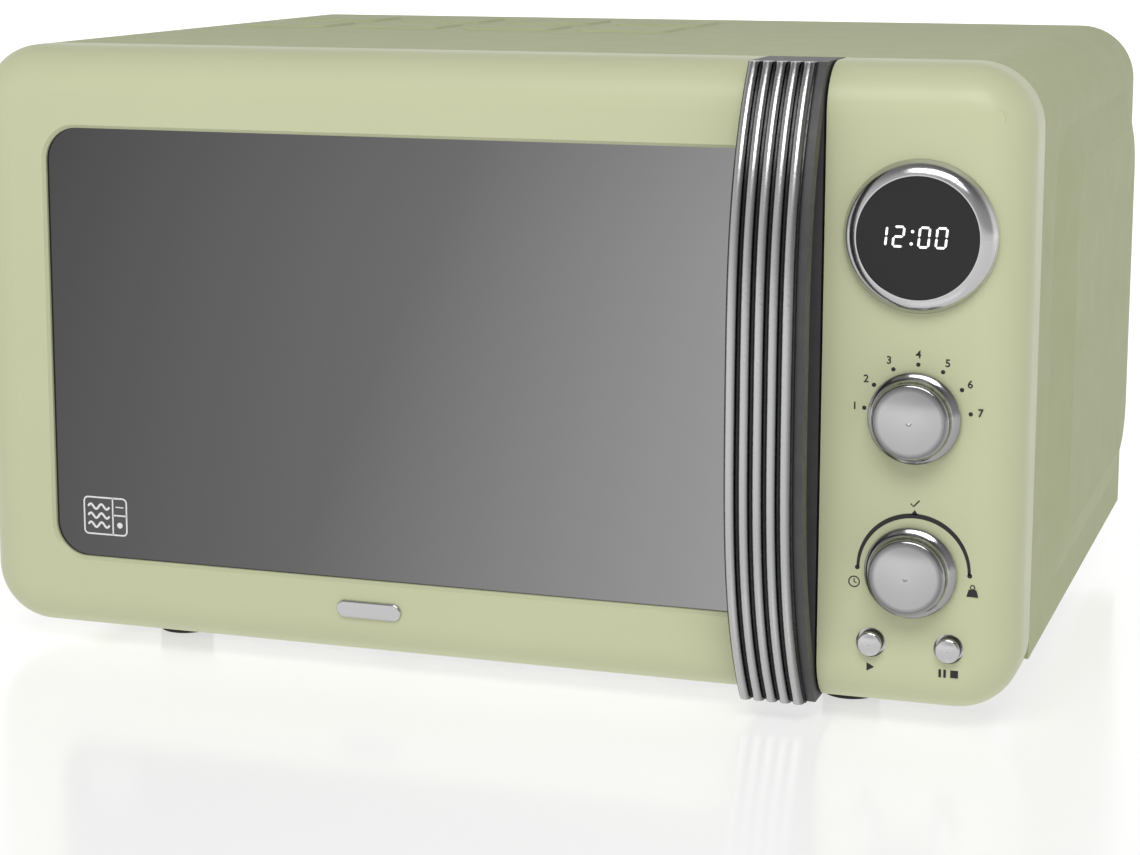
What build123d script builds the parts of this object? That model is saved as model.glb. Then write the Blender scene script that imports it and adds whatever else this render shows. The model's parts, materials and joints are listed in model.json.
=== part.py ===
from build123d import *
import os
from math import cos, radians, sin

# Countertop microwave oven.
# Frame: X to the right, Y to the back, Z up, millimetres.
# Origin: centre of the footprint, on the surface that the feet stand on.

os.makedirs("parts", exist_ok=True)

# ---------------------------------------------------------------- driving dimensions
FRONT_WIDTH = 452.4        # door and control panel together
FRONT_HEIGHT = 254.0
FRONT_BOTTOM = 8.0         # the front hangs this far above the table
FRONT_DEPTH = 35.0         # door and control panel thickness
CORNER_RADIUS = 26.0       # corners of the front, seen from ahead
EDGE_RADIUS = 19.5         # roll-over of the front face into its sides
CASE_DEPTH = 302.0
CASE_BOTTOM = 24.5         # lower edge of the side panels
SHEET = 1.0                # steel sheet of the cabinet
WALL = 2.6                 # moulded plastic wall
SEAM_GAP = 1.2             # shadow line between front and cabinet
HANDLE_REACH = 67.0        # handle crest ahead of the seam
SCREW_HEAD = 2.0
BULGE = 4.0                # raised panel pressed into each side
FIT = 0.05                 # radial clearance of a running fit

SEAM = -(CASE_DEPTH + SCREW_HEAD - HANDLE_REACH) / 2
FRONT_TOP = FRONT_BOTTOM + FRONT_HEIGHT
FRONT_MID_Z = FRONT_BOTTOM + FRONT_HEIGHT / 2
FACE_Y = SEAM - FRONT_DEPTH
FRONT_BACK = SEAM - SEAM_GAP / 2
CASE_FRONT = SEAM + SEAM_GAP / 2
CASE_BACK = SEAM + CASE_DEPTH
HALF_WIDTH = FRONT_WIDTH / 2

HANDLE_LEFT = 116.7        # the handle strip closes the door's free side
HANDLE_RIGHT = 147.0
PANEL_LEFT = 148.0

WINDOW_LEFT = -190.2
WINDOW_BOTTOM = FRONT_BOTTOM + 34.1
WINDOW_TOP = FRONT_TOP - 33.9

CAVITY_LEFT = -196.0
CAVITY_RIGHT = 110.0
CAVITY_FLOOR = 46.0
CAVITY_ROOF = 244.0
CAVITY_BACK = SEAM + 290
CAVITY_MID_X = (CAVITY_LEFT + CAVITY_RIGHT) / 2
TURN_Y = SEAM + 146        # turntable axis
BAY_LEFT = CAVITY_RIGHT + SHEET

PIN_X = -HALF_WIDTH + 10.2
PIN_Y = FRONT_BACK - 10.2  # the door's back corner turns about the pin with this radius
PIN_RADIUS = 2.95

DIAL_X = 184.8
DISPLAY_Z = FRONT_BOTTOM + 188.8
SELECTOR_Z = FRONT_BOTTOM + 118.5
TIMER_Z = FRONT_BOTTOM + 57.5
BUTTON_Z = FRONT_BOTTOM + 27.8
START_X = 169.5
CANCEL_X = 200.2

FAN_X = 168.0
FAN_Z = 176.0

# X, Z of the screws in the cabinet's back lip
BACK_SCREWS = [(x, z) for x in (-219, 219) for z in (60, 200)] + [(x, 255.5) for x in (-150, 0, 150)]


def front_plane(y):
    """Plane at depth y with local axes X and Z; a positive extrusion runs forwards."""
    return Plane.XZ.offset(-y)


def lathe_plane(x, z):
    """Plane for the half profile of a piece turned about the front-to-back axis through x, z.
    Local x is the radius, local y is the distance ahead of the panel face."""
    return Plane(origin=(x, FACE_Y, z), x_dir=(1, 0, 0), z_dir=(0, 0, -1))


def lathe_axis(x, z):
    """Front-to-back axis through x, z."""
    return Axis((x, FACE_Y, z), (0, -1, 0))


def front_form(inset):
    """Whole rounded front, drawn in from its outer surface by inset."""
    with BuildPart() as form:
        with BuildSketch(front_plane(FRONT_BACK)):
            with Locations((0, FRONT_MID_Z)):
                RectangleRounded(FRONT_WIDTH - 2 * inset, FRONT_HEIGHT - 2 * inset, CORNER_RADIUS - inset)
        extrude(amount=FRONT_BACK - FACE_Y - inset)
        fillet(form.faces().sort_by(Axis.Y)[0].edges(), EDGE_RADIUS - inset)
    return form.part


def hinge_corner(inset):
    """Back left edge of the door beyond a circle about the pins, which the door gives up to swing.
    inset is the wall thickness left inside that circle."""
    with BuildPart() as corner:
        with BuildSketch(Plane.XY.offset(FRONT_BOTTOM - 1)):
            with Locations((PIN_X, PIN_Y)):
                Rectangle(30, 30, align=(Align.MAX, Align.MIN))
                Circle(FRONT_BACK - PIN_Y - inset, mode=Mode.SUBTRACT)
        extrude(amount=FRONT_HEIGHT + 2)
    return corner.part


def case_form(inset, start, end):
    """Solid of the wrapped cabinet, drawn in by inset, from depth start to depth end."""
    width = FRONT_WIDTH - 0.4 - 2 * inset
    height = FRONT_TOP - inset - CASE_BOTTOM - inset
    with BuildPart() as form:
        with BuildSketch(front_plane(end)):
            with Locations((0, CASE_BOTTOM + inset)):
                Rectangle(width, height, align=(Align.CENTER, Align.MIN))
        extrude(amount=end - start)
        top_edges = form.edges().filter_by(Axis.Y).group_by(Axis.Z)[-1]
        fillet(top_edges, CORNER_RADIUS - inset)
    return form.part


def side_bulge(inset):
    """Raised panel pressed into the right side; its inner skin sits inset further in."""
    side = HALF_WIDTH - 0.2 - inset
    with BuildPart() as bulge:
        with BuildSketch(Plane.YZ.offset(side)) as rim:
            with Locations((SEAM + 168, FRONT_BOTTOM + 128.5)):
                Rectangle(264, 191)
            fillet(rim.vertices().group_by(Axis.Y)[0], 34)
            fillet(rim.vertices().group_by(Axis.Y)[-1], 34)
        with BuildSketch(Plane.YZ.offset(side + BULGE)) as crest:
            with Locations((SEAM + 182.5, FRONT_BOTTOM + 128.5)):
                Rectangle(205, 157)
            fillet(crest.vertices().group_by(Axis.Y)[0], 22)
            fillet(crest.vertices().group_by(Axis.Y)[-1], 22)
        loft()
    return bulge.part


OUTER_FRONT = front_form(0)
INNER_FRONT = front_form(WALL)
INNER_CORNER = hinge_corner(WALL)
OUTER_BULGE = side_bulge(0)
INNER_BULGE = side_bulge(SHEET)

# ================================================================ cabinet
# ---- painted steel wrapper: roof, two sides, inward lips along the bottom and the back
with BuildPart() as outer_cabinet:
    add(case_form(0, CASE_FRONT, CASE_BACK))
    add(OUTER_BULGE)
    add(mirror(OUTER_BULGE, about=Plane.YZ))
    # pads pressed up out of the roof in two rows of four
    with BuildSketch(Plane.XY.offset(FRONT_TOP)):
        with Locations((-80.5, SEAM + 181), (-80.5, SEAM + 243)):
            with GridLocations(57, 1, 4, 1):
                RectangleRounded(44, 42, 4)
    extrude(amount=1, taper=40)
    add(case_form(SHEET, CASE_FRONT - 1, CASE_BACK - SHEET), mode=Mode.SUBTRACT)
    add(INNER_BULGE, mode=Mode.SUBTRACT)
    add(mirror(INNER_BULGE, about=Plane.YZ), mode=Mode.SUBTRACT)
    with BuildSketch(front_plane(CASE_BACK + 1)):
        with Locations((0, CASE_BOTTOM + 12)):
            Rectangle(FRONT_WIDTH - 26, FRONT_TOP - CASE_BOTTOM - 24, align=(Align.CENTER, Align.MIN))
        with Locations(*BACK_SCREWS):
            Circle(1.9)
    extrude(amount=4, mode=Mode.SUBTRACT)
    with BuildSketch(Plane.XY.offset(CASE_BOTTOM - 1)):
        with Locations((0, CASE_FRONT - 1)):
            Rectangle(FRONT_WIDTH - 24, CASE_DEPTH + 4, align=(Align.CENTER, Align.MIN))
    extrude(amount=3, mode=Mode.SUBTRACT)
outer_cabinet.part.label = "outer_cabinet"
export_step(outer_cabinet.part, "parts/outer_cabinet.step")

# ---- base plate with upturned edges, vent slots under the component bay, motor hatch opening
BASE_Z = CASE_BOTTOM + SHEET + 0.2
BASE_TOP = BASE_Z + 1.2
FEET_XY = [(x, SEAM + y) for x in (-152, 152) for y in (13.5, 272)]
with BuildPart() as base_plate:
    with BuildSketch(Plane.XY.offset(BASE_Z)):
        with Locations((0, CASE_FRONT + 4)):
            Rectangle(FRONT_WIDTH - 3.2, CASE_DEPTH - 8, align=(Align.CENTER, Align.MIN))
    extrude(amount=12)
    with BuildSketch(Plane.XY.offset(BASE_TOP)):
        with Locations((0, CASE_FRONT)):
            Rectangle(FRONT_WIDTH - 5.6, CASE_DEPTH, align=(Align.CENTER, Align.MIN))
    extrude(amount=14, mode=Mode.SUBTRACT)
    with BuildSketch(Plane.XY.offset(BASE_Z - 1)):
        with Locations((168, SEAM + 60)):
            with GridLocations(1, 7, 1, 8):
                SlotOverall(70, 3.2)
        with Locations((CAVITY_MID_X, TURN_Y)):
            Circle(34)
        with Locations(*FEET_XY):
            Circle(2.2)
    extrude(amount=4, mode=Mode.SUBTRACT)
base_plate.part.label = "base_plate"
export_step(base_plate.part, "parts/base_plate.step")

# ---- hatch under the turntable motor
with BuildPart() as motor_hatch:
    with BuildSketch(Plane.XY.offset(BASE_Z - 0.9)):
        with Locations((CAVITY_MID_X, TURN_Y)):
            Circle(39)
    extrude(amount=0.8)
    with BuildSketch(Plane.XY.offset(BASE_Z - 2)):
        with Locations((CAVITY_MID_X, TURN_Y)):
            with PolarLocations(24, 6, start_angle=0):
                SlotOverall(14, 3)
    extrude(amount=4, mode=Mode.SUBTRACT)
motor_hatch.part.label = "motor_hatch"
export_step(motor_hatch.part, "parts/motor_hatch.step")

# ---- four rubber feet with a recessed screw seat
SCREW_SEAT = 15.0
with BuildPart() as feet:
    with BuildSketch(Plane.XY):
        with Locations(*FEET_XY):
            Circle(11.5)
    extrude(amount=BASE_Z, taper=-2)
    fillet(feet.edges().group_by(Axis.Z)[0], 0.8)
    with Locations(*[(x, y, 0) for x, y in FEET_XY]):
        Cylinder(5, SCREW_SEAT, align=(Align.CENTER, Align.CENTER, Align.MIN), mode=Mode.SUBTRACT)
        Cylinder(1.9, BASE_Z, align=(Align.CENTER, Align.CENTER, Align.MIN), mode=Mode.SUBTRACT)
feet.part.label = "feet"
export_step(feet.part, "parts/feet.step")

# ---- rear panel with fan grille, steam vent and cord hole
REAR_Y = CASE_BACK - SHEET - 1.2
CORD_X = 196.0
CORD_Z = 62.0
with BuildPart() as rear_panel:
    with BuildSketch(front_plane(REAR_Y)) as rear_outline:
        with Locations((0, BASE_TOP + 0.3)):
            Rectangle(FRONT_WIDTH - 3.2, FRONT_TOP - 1.6 - BASE_TOP - 0.3, align=(Align.CENTER, Align.MIN))
        fillet(rear_outline.vertices().group_by(Axis.Z)[-1], CORNER_RADIUS - 1.6)
    extrude(amount=-1)
    with BuildSketch(front_plane(REAR_Y - 1)):
        with Locations((FAN_X, FAN_Z)):
            with GridLocations(26, 7, 3, 12):
                SlotOverall(21, 3.4)
        with Locations((-120, 215)):
            with GridLocations(26, 7, 5, 5):
                SlotOverall(21, 3.4)
        with Locations((CORD_X, CORD_Z)):
            Circle(8.05)
        with Locations(*BACK_SCREWS):
            Circle(1.9)
    extrude(amount=-4, mode=Mode.SUBTRACT)
rear_panel.part.label = "rear_panel"
export_step(rear_panel.part, "parts/rear_panel.step")

# ---- cord gland: bush that lines the cord hole, empty here
with BuildPart() as cord_gland:
    with BuildSketch(front_plane(REAR_Y - 4)):
        with Locations((CORD_X, CORD_Z)):
            Circle(8)
    extrude(amount=-(CASE_BACK + SCREW_HEAD - REAR_Y + 4))
    with BuildSketch(front_plane(REAR_Y + 1)):
        with Locations((CORD_X, CORD_Z)):
            Circle(10.5)
    extrude(amount=-(CASE_BACK + SCREW_HEAD - REAR_Y - 1))
    fillet(cord_gland.edges().group_by(Axis.Y)[-1], 1)
    with BuildSketch(front_plane(REAR_Y - 5)):
        with Locations((CORD_X, CORD_Z)):
            Circle(4)
    extrude(amount=-20, mode=Mode.SUBTRACT)
cord_gland.part.label = "cord_gland"
export_step(cord_gland.part, "parts/cord_gland.step")

# ---- pan-head screws: seven in the cabinet's back lip, four up through the feet
with BuildPart() as screws:
    with BuildSketch(front_plane(CASE_BACK)):
        with Locations(*BACK_SCREWS):
            Circle(3.8)
    extrude(amount=-SCREW_HEAD)
    fillet(screws.edges().group_by(Axis.Y)[-1], 0.9)
    with BuildSketch(front_plane(CASE_BACK + SCREW_HEAD)):
        with Locations(*BACK_SCREWS):
            Rectangle(4, 0.9)
            Rectangle(0.9, 4)
    extrude(amount=1.1, mode=Mode.SUBTRACT)
    with BuildSketch(front_plane(CASE_BACK)):
        with Locations(*BACK_SCREWS):
            Circle(1.8)
    extrude(amount=7)
    with BuildSketch(Plane.XY.offset(SCREW_SEAT)):
        with Locations(*FEET_XY):
            Circle(3.8)
    extrude(amount=-SCREW_HEAD)
    with BuildSketch(Plane.XY.offset(SCREW_SEAT)):
        with Locations(*FEET_XY):
            Circle(1.8)
    extrude(amount=BASE_TOP + 3 - SCREW_SEAT)
screws.part.label = "screws"
export_step(screws.part, "parts/screws.step")

# ---- front plate: frames the oven mouth and the component bay, slotted for hooks and hinges
PLATE_BACK = CASE_FRONT + 1.2
HOOK_X = 128.5
HOOK_ZS = (82.0, 196.0)
LOWER_TAB_Z = 27.0
UPPER_TAB_Z = 2 * FRONT_MID_Z - LOWER_TAB_Z
with BuildPart() as front_plate:
    with BuildSketch(front_plane(PLATE_BACK)) as plate_outline:
        with Locations((0, CASE_BOTTOM + SHEET + 0.3)):
            Rectangle(FRONT_WIDTH - 3, FRONT_TOP - 1.3 - CASE_BOTTOM - SHEET - 0.3,
                      align=(Align.CENTER, Align.MIN))
        fillet(plate_outline.vertices().group_by(Axis.Z)[-1], CORNER_RADIUS - 1.5)
    extrude(amount=1.2)
    with BuildSketch(front_plane(PLATE_BACK + 1)):
        with Locations((CAVITY_MID_X, (CAVITY_FLOOR + CAVITY_ROOF) / 2)):
            RectangleRounded(CAVITY_RIGHT - CAVITY_LEFT, CAVITY_ROOF - CAVITY_FLOOR, 6)
        with Locations((DIAL_X, FRONT_MID_Z + 4)):
            RectangleRounded(60, 190, 4)
        with Locations(*[(HOOK_X, z) for z in HOOK_ZS]):
            Rectangle(9, 24)
        with Locations((PIN_X, LOWER_TAB_Z), (PIN_X, UPPER_TAB_Z)):
            Rectangle(10.6, 2.6)
    extrude(amount=4, mode=Mode.SUBTRACT)
front_plate.part.label = "front_plate"
export_step(front_plate.part, "parts/front_plate.step")


def hinge_bracket(tab_z, inward):
    """Angle bracket: a leg behind the front plate, a tab through it and a pin on the tab.
    inward is +1 for the lower bracket and -1 for the upper one."""
    with BuildPart() as bracket:
        # leg
        with BuildSketch(front_plane(PLATE_BACK + 1.6)):
            with Locations((PIN_X + 4, tab_z + inward * 14.5)):
                RectangleRounded(18, 27, 2)
        extrude(amount=1.5)
        # tab
        with BuildSketch(Plane.XY.offset(tab_z - 1)):
            with Locations((PIN_X, PIN_Y)):
                Circle(5)
            with Locations((PIN_X, PIN_Y)):
                Rectangle(10, PLATE_BACK + 1.6 - PIN_Y, align=(Align.CENTER, Align.MIN))
        extrude(amount=2)
        # pin
        with BuildSketch(Plane.XY.offset(tab_z)):
            with Locations((PIN_X, PIN_Y)):
                Circle(PIN_RADIUS)
        extrude(amount=inward * 12)
    return bracket.part


with BuildPart() as lower_hinge_bracket:
    add(hinge_bracket(LOWER_TAB_Z, 1))
lower_hinge_bracket.part.label = "lower_hinge_bracket"
export_step(lower_hinge_bracket.part, "parts/lower_hinge_bracket.step")

with BuildPart() as upper_hinge_bracket:
    add(hinge_bracket(UPPER_TAB_Z, -1))
upper_hinge_bracket.part.label = "upper_hinge_bracket"
export_step(upper_hinge_bracket.part, "parts/upper_hinge_bracket.step")

# ---- enamelled cavity, open at the front, with a round well for the roller ring
WELL_RADIUS = 130.0
WELL_DEPTH = 2.0
WELL_FLOOR = CAVITY_FLOOR - WELL_DEPTH
CAVITY_FRONT = PLATE_BACK + 0.1
GUIDE_Y = SEAM + 145       # waveguide window centre
GUIDE_Z = 146.0
LAMP_Y = SEAM + 52
LAMP_Z = 196.0


def cavity_form(inset):
    """Rounded box of the cavity; inset is negative for the outer skin."""
    size_x = CAVITY_RIGHT - CAVITY_LEFT - 2 * inset
    size_y = CAVITY_BACK - inset - CAVITY_FRONT
    size_z = CAVITY_ROOF - CAVITY_FLOOR - 2 * inset
    with BuildPart() as form:
        with Locations((CAVITY_MID_X, CAVITY_FRONT, CAVITY_FLOOR + inset)):
            Box(size_x, size_y, size_z, align=(Align.CENTER, Align.MIN, Align.MIN))
        fillet(form.edges().filter_by(Axis.Y), 6 - inset)
        fillet(form.faces().sort_by(Axis.Y)[-1].edges(), 5 - inset)
    return form.part


CAVITY_OUTER = cavity_form(-SHEET)
CAVITY_INNER = cavity_form(0)
with BuildPart() as cavity_liner:
    add(CAVITY_OUTER)
    with BuildSketch(Plane.XY.offset(CAVITY_FLOOR)):
        with Locations((CAVITY_MID_X, TURN_Y)):
            Circle(WELL_RADIUS + SHEET)
    extrude(amount=-(WELL_DEPTH + SHEET))
    add(CAVITY_INNER, mode=Mode.SUBTRACT)
    with BuildSketch(Plane.XY.offset(WELL_FLOOR)):
        with Locations((CAVITY_MID_X, TURN_Y)):
            Circle(WELL_RADIUS)
    extrude(amount=8, mode=Mode.SUBTRACT)
    with BuildSketch(Plane.XY.offset(WELL_FLOOR - 3)):
        with Locations((CAVITY_MID_X, TURN_Y)):
            Circle(6)
    extrude(amount=8, mode=Mode.SUBTRACT)
    # microwave window, lamp holes and air inlet in the right wall
    with BuildSketch(Plane.YZ.offset(CAVITY_RIGHT - 1)):
        with Locations((GUIDE_Y, GUIDE_Z)):
            Rectangle(66, 44)
        with Locations((LAMP_Y, LAMP_Z)):
            with GridLocations(6, 6, 6, 4):
                Circle(1.6)
        with Locations((SEAM + 240, 100)):
            with GridLocations(6, 6, 6, 6):
                Circle(1.6)
    extrude(amount=4, mode=Mode.SUBTRACT)
    # steam outlet in the left wall
    with BuildSketch(Plane.YZ.offset(CAVITY_LEFT - 3)):
        with Locations((SEAM + 250, 215)):
            with GridLocations(6, 6, 8, 5):
                Circle(1.6)
    extrude(amount=4, mode=Mode.SUBTRACT)
cavity_liner.part.label = "cavity_liner"
export_step(cavity_liner.part, "parts/cavity_liner.step")

# ---- mica sheet over the microwave window
with BuildPart() as waveguide_cover:
    with BuildSketch(Plane.YZ.offset(CAVITY_RIGHT - 0.9)):
        with Locations((GUIDE_Y, GUIDE_Z)):
            RectangleRounded(84, 58, 4)
    extrude(amount=0.7)
waveguide_cover.part.label = "waveguide_cover"
export_step(waveguide_cover.part, "parts/waveguide_cover.step")

# ================================================================ microwave generator
GUIDE_OUT = BAY_LEFT + 40
TUBE_Z = 196.0
with BuildPart() as waveguide:
    with Locations((BAY_LEFT + 0.1, GUIDE_Y, 118)):
        Box(GUIDE_OUT - BAY_LEFT, 90, 116, align=(Align.MIN, Align.CENTER, Align.MIN))
    with Locations((BAY_LEFT, GUIDE_Y, 119)):
        Box(GUIDE_OUT - BAY_LEFT - 1, 88, 114, align=(Align.MIN, Align.CENTER, Align.MIN),
            mode=Mode.SUBTRACT)
    with BuildSketch(Plane.YZ.offset(GUIDE_OUT - 2)):
        with Locations((GUIDE_Y, TUBE_Z)):
            Circle(16)
    extrude(amount=4, mode=Mode.SUBTRACT)
waveguide.part.label = "waveguide"
export_step(waveguide.part, "parts/waveguide.step")

YOKE_X = GUIDE_OUT + 0.3
with BuildPart() as magnetron_yoke:
    with Locations((YOKE_X, GUIDE_Y, TUBE_Z)):
        Box(62, 92, 78, align=(Align.MIN, Align.CENTER, Align.CENTER))
    with Locations((YOKE_X + 2, GUIDE_Y, TUBE_Z)):
        Box(58, 96, 74, align=(Align.MIN, Align.CENTER, Align.CENTER), mode=Mode.SUBTRACT)
    with BuildSketch(Plane.YZ.offset(YOKE_X - 1)):
        with Locations((GUIDE_Y, TUBE_Z)):
            Circle(17.3)
    extrude(amount=64, mode=Mode.SUBTRACT)
magnetron_yoke.part.label = "magnetron_yoke"
export_step(magnetron_yoke.part, "parts/magnetron_yoke.step")

with BuildPart() as magnetron_tube:
    with BuildSketch(Plane.YZ.offset(YOKE_X + 4)):
        with Locations((GUIDE_Y, TUBE_Z)):
            Circle(17)
    extrude(amount=50)
    with BuildSketch(Plane.YZ.offset(YOKE_X - 28)):
        with Locations((GUIDE_Y, TUBE_Z)):
            Circle(8)
    extrude(amount=33)
    fillet(magnetron_tube.edges().group_by(Axis.X)[0], 3)
    # ring magnets at both ends
    for start in (YOKE_X + 2.2, YOKE_X + 48):
        with BuildSketch(Plane.YZ.offset(start)):
            with Locations((GUIDE_Y, TUBE_Z)):
                Circle(27)
                Circle(17.5, mode=Mode.SUBTRACT)
        extrude(amount=9)
magnetron_tube.part.label = "magnetron_tube"
export_step(magnetron_tube.part, "parts/magnetron_tube.step")

with BuildPart() as magnetron_fins:
    with BuildSketch(Plane.YZ.offset(YOKE_X + 14)):
        with Locations((GUIDE_Y, TUBE_Z)):
            Rectangle(84, 72)
            Circle(17.05, mode=Mode.SUBTRACT)
    extrude(amount=0.6)
    for step in range(1, 7):
        with BuildSketch(Plane.YZ.offset(YOKE_X + 14 + 4.6 * step)):
            with Locations((GUIDE_Y, TUBE_Z)):
                Rectangle(84, 72)
                Circle(17.05, mode=Mode.SUBTRACT)
        extrude(amount=0.6)
magnetron_fins.part.label = "magnetron_fins"
export_step(magnetron_fins.part, "parts/magnetron_fins.step")

# ---- high-voltage transformer: laminated core around two windings
CORE_X = 168.0
CORE_Y = SEAM + 186
CORE_Z = BASE_TOP + 0.2
with BuildPart() as transformer_core:
    with Locations((CORE_X, CORE_Y, CORE_Z)):
        Box(92, 52, 76, align=(Align.CENTER, Align.CENTER, Align.MIN))
    with Locations((CORE_X - 23, CORE_Y, CORE_Z + 15), (CORE_X + 23, CORE_Y, CORE_Z + 15)):
        Box(16, 60, 46, align=(Align.CENTER, Align.CENTER, Align.MIN), mode=Mode.SUBTRACT)
    with Locations((CORE_X, CORE_Y, CORE_Z)):
        Box(104, 66, 1.6, align=(Align.CENTER, Align.CENTER, Align.MIN))
transformer_core.part.label = "transformer_core"
export_step(transformer_core.part, "parts/transformer_core.step")

with BuildPart() as transformer_windings:
    for low, high in ((15.3, 33), (37, 60.7)):
        with BuildSketch(Plane.XY.offset(CORE_Z + low)):
            with Locations((CORE_X, CORE_Y)):
                RectangleRounded(61.4, 88, 12)
                RectangleRounded(30.6, 52.6, 1, mode=Mode.SUBTRACT)
        extrude(amount=high - low)
transformer_windings.part.label = "transformer_windings"
export_step(transformer_windings.part, "parts/transformer_windings.step")

# ---- high-voltage capacitor in its clamp
CAP_X = 150.0
CAP_Y = SEAM + 66
with BuildPart() as capacitor:
    with BuildSketch(Plane.XY.offset(BASE_TOP + 1)):
        with Locations((CAP_X, CAP_Y)):
            SlotOverall(56, 36)
    extrude(amount=88)
    fillet(capacitor.edges().group_by(Axis.Z)[-1], 2)
    with Locations((CAP_X - 12, CAP_Y, BASE_TOP + 89), (CAP_X + 12, CAP_Y, BASE_TOP + 89)):
        Box(6.3, 0.8, 10, align=(Align.CENTER, Align.CENTER, Align.MIN))
capacitor.part.label = "capacitor"
export_step(capacitor.part, "parts/capacitor.step")

with BuildPart() as hv_diode:
    with BuildSketch(Plane.XY.offset(BASE_TOP + 99.5)):
        with Locations((CAP_X, CAP_Y)):
            SlotOverall(16, 5)
    extrude(amount=5)
    with Locations((CAP_X, CAP_Y, BASE_TOP + 102)):
        Cylinder(0.7, 38, rotation=(0, 90, 0))
hv_diode.part.label = "hv_diode"
export_step(hv_diode.part, "parts/hv_diode.step")

# ================================================================ cooling fan
SHROUD_Y = SEAM + 262
with BuildPart() as fan_shroud:
    with BuildSketch(front_plane(SHROUD_Y)):
        with Locations((FAN_X, FAN_Z)):
            RectangleRounded(106, 106, 6)
            Circle(44, mode=Mode.SUBTRACT)
    extrude(amount=2)
    with BuildSketch(front_plane(SHROUD_Y)):
        with Locations((FAN_X, FAN_Z)):
            Circle(46.5)
            Circle(44, mode=Mode.SUBTRACT)
    extrude(amount=14)
    # posts that carry the motor behind the ring
    with BuildSketch(front_plane(SHROUD_Y)):
        with Locations((FAN_X, FAN_Z)):
            with GridLocations(82, 82, 2, 2):
                Circle(5)
    extrude(amount=-33)
fan_shroud.part.label = "fan_shroud"
export_step(fan_shroud.part, "parts/fan_shroud.step")

with BuildPart() as fan_motor:
    with BuildSketch(front_plane(SHROUD_Y + 26)):
        with Locations((FAN_X, FAN_Z)):
            Rectangle(62, 56)
            with Locations((0, 0)):
                Circle(4.05, mode=Mode.SUBTRACT)
    extrude(amount=18)
    with BuildSketch(front_plane(SHROUD_Y + 32)):
        with Locations((FAN_X, FAN_Z - 16)):
            RectangleRounded(30, 22, 4)
    extrude(amount=6)
fan_motor.part.label = "fan_motor"
export_step(fan_motor.part, "parts/fan_motor.step")

FAN_FRONT = SHROUD_Y - 13
FAN_BLADES = 7
with BuildPart() as fan_blade:
    with BuildSketch(front_plane(FAN_FRONT + 12)):
        with Locations((FAN_X, FAN_Z)):
            Circle(11)
    extrude(amount=12)
    fillet(fan_blade.edges().group_by(Axis.Y)[0], 3)
    for index in range(FAN_BLADES):
        angle = radians(360 / FAN_BLADES * index)
        outward = Vector(cos(angle), 0, sin(angle))
        root = Vector(FAN_X, FAN_FRONT + 6, FAN_Z) + outward * 9
        with BuildSketch(Plane(origin=root, x_dir=(0, 1, 0), z_dir=outward)):
            with Locations(Rotation(0, 0, 32)):
                Rectangle(20, 1.4)
        extrude(amount=31)
fan_blade.part.label = "fan_blade"
export_step(fan_blade.part, "parts/fan_blade.step")

# ================================================================ small fittings in the bay
with BuildPart() as interlock_holder:
    with Locations((BAY_LEFT + 4, PLATE_BACK + 0.2, 60)):
        Box(30, 40, 158, align=(Align.MIN, Align.MIN, Align.MIN))
    with Locations((BAY_LEFT + 6, PLATE_BACK + 2.2, 58)):
        Box(30, 50, 170, align=(Align.MIN, Align.MIN, Align.MIN), mode=Mode.SUBTRACT)
    with BuildSketch(front_plane(PLATE_BACK + 3)):
        with Locations(*[(HOOK_X, z) for z in HOOK_ZS]):
            Rectangle(10, 26)
    extrude(amount=4, mode=Mode.SUBTRACT)
interlock_holder.part.label = "interlock_holder"
export_step(interlock_holder.part, "parts/interlock_holder.step")

SWITCH_SPOTS = [(HOOK_X, HOOK_ZS[0] - 8), (HOOK_X, HOOK_ZS[0] + 8), (HOOK_X, HOOK_ZS[1])]
with BuildPart() as microswitches:
    with Locations(*[(BAY_LEFT + 6.2, SEAM + 22, z) for _, z in SWITCH_SPOTS]):
        Box(16, 19, 6.4, align=(Align.MIN, Align.MIN, Align.CENTER))
    with Locations(*[(BAY_LEFT + 12, SEAM + 19.5, z) for _, z in SWITCH_SPOTS]):
        Box(4, 2.5, 3, align=(Align.MIN, Align.MIN, Align.CENTER))
microswitches.part.label = "microswitches"
export_step(microswitches.part, "parts/microswitches.step")

with BuildPart() as cavity_lamp:
    with BuildSketch(Plane.YZ.offset(BAY_LEFT + 3)):
        with Locations((LAMP_Y, LAMP_Z)):
            Circle(9)
    extrude(amount=20)
    fillet(cavity_lamp.edges().group_by(Axis.X)[0], 8)
    with BuildSketch(Plane.YZ.offset(BAY_LEFT + 23)):
        with Locations((LAMP_Y, LAMP_Z)):
            RectangleRounded(26, 26, 3)
    extrude(amount=3)
    with BuildSketch(Plane.YZ.offset(BAY_LEFT + 26)):
        with Locations((LAMP_Y, LAMP_Z)):
            Circle(7)
    extrude(amount=9)
cavity_lamp.part.label = "cavity_lamp"
export_step(cavity_lamp.part, "parts/cavity_lamp.step")

with BuildPart() as filter_board:
    with Locations((150, REAR_Y - 8, 72)):
        Box(56, 1.6, 46)
    with Locations((140, REAR_Y - 8.8, 76)):
        Cylinder(9, 14, rotation=(90, 0, 0), align=(Align.CENTER, Align.CENTER, Align.MIN))
    with Locations((164, REAR_Y - 8.8, 82), (164, REAR_Y - 8.8, 62)):
        Box(16, 9, 12, align=(Align.CENTER, Align.MAX, Align.CENTER))
filter_board.part.label = "filter_board"
export_step(filter_board.part, "parts/filter_board.step")

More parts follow.
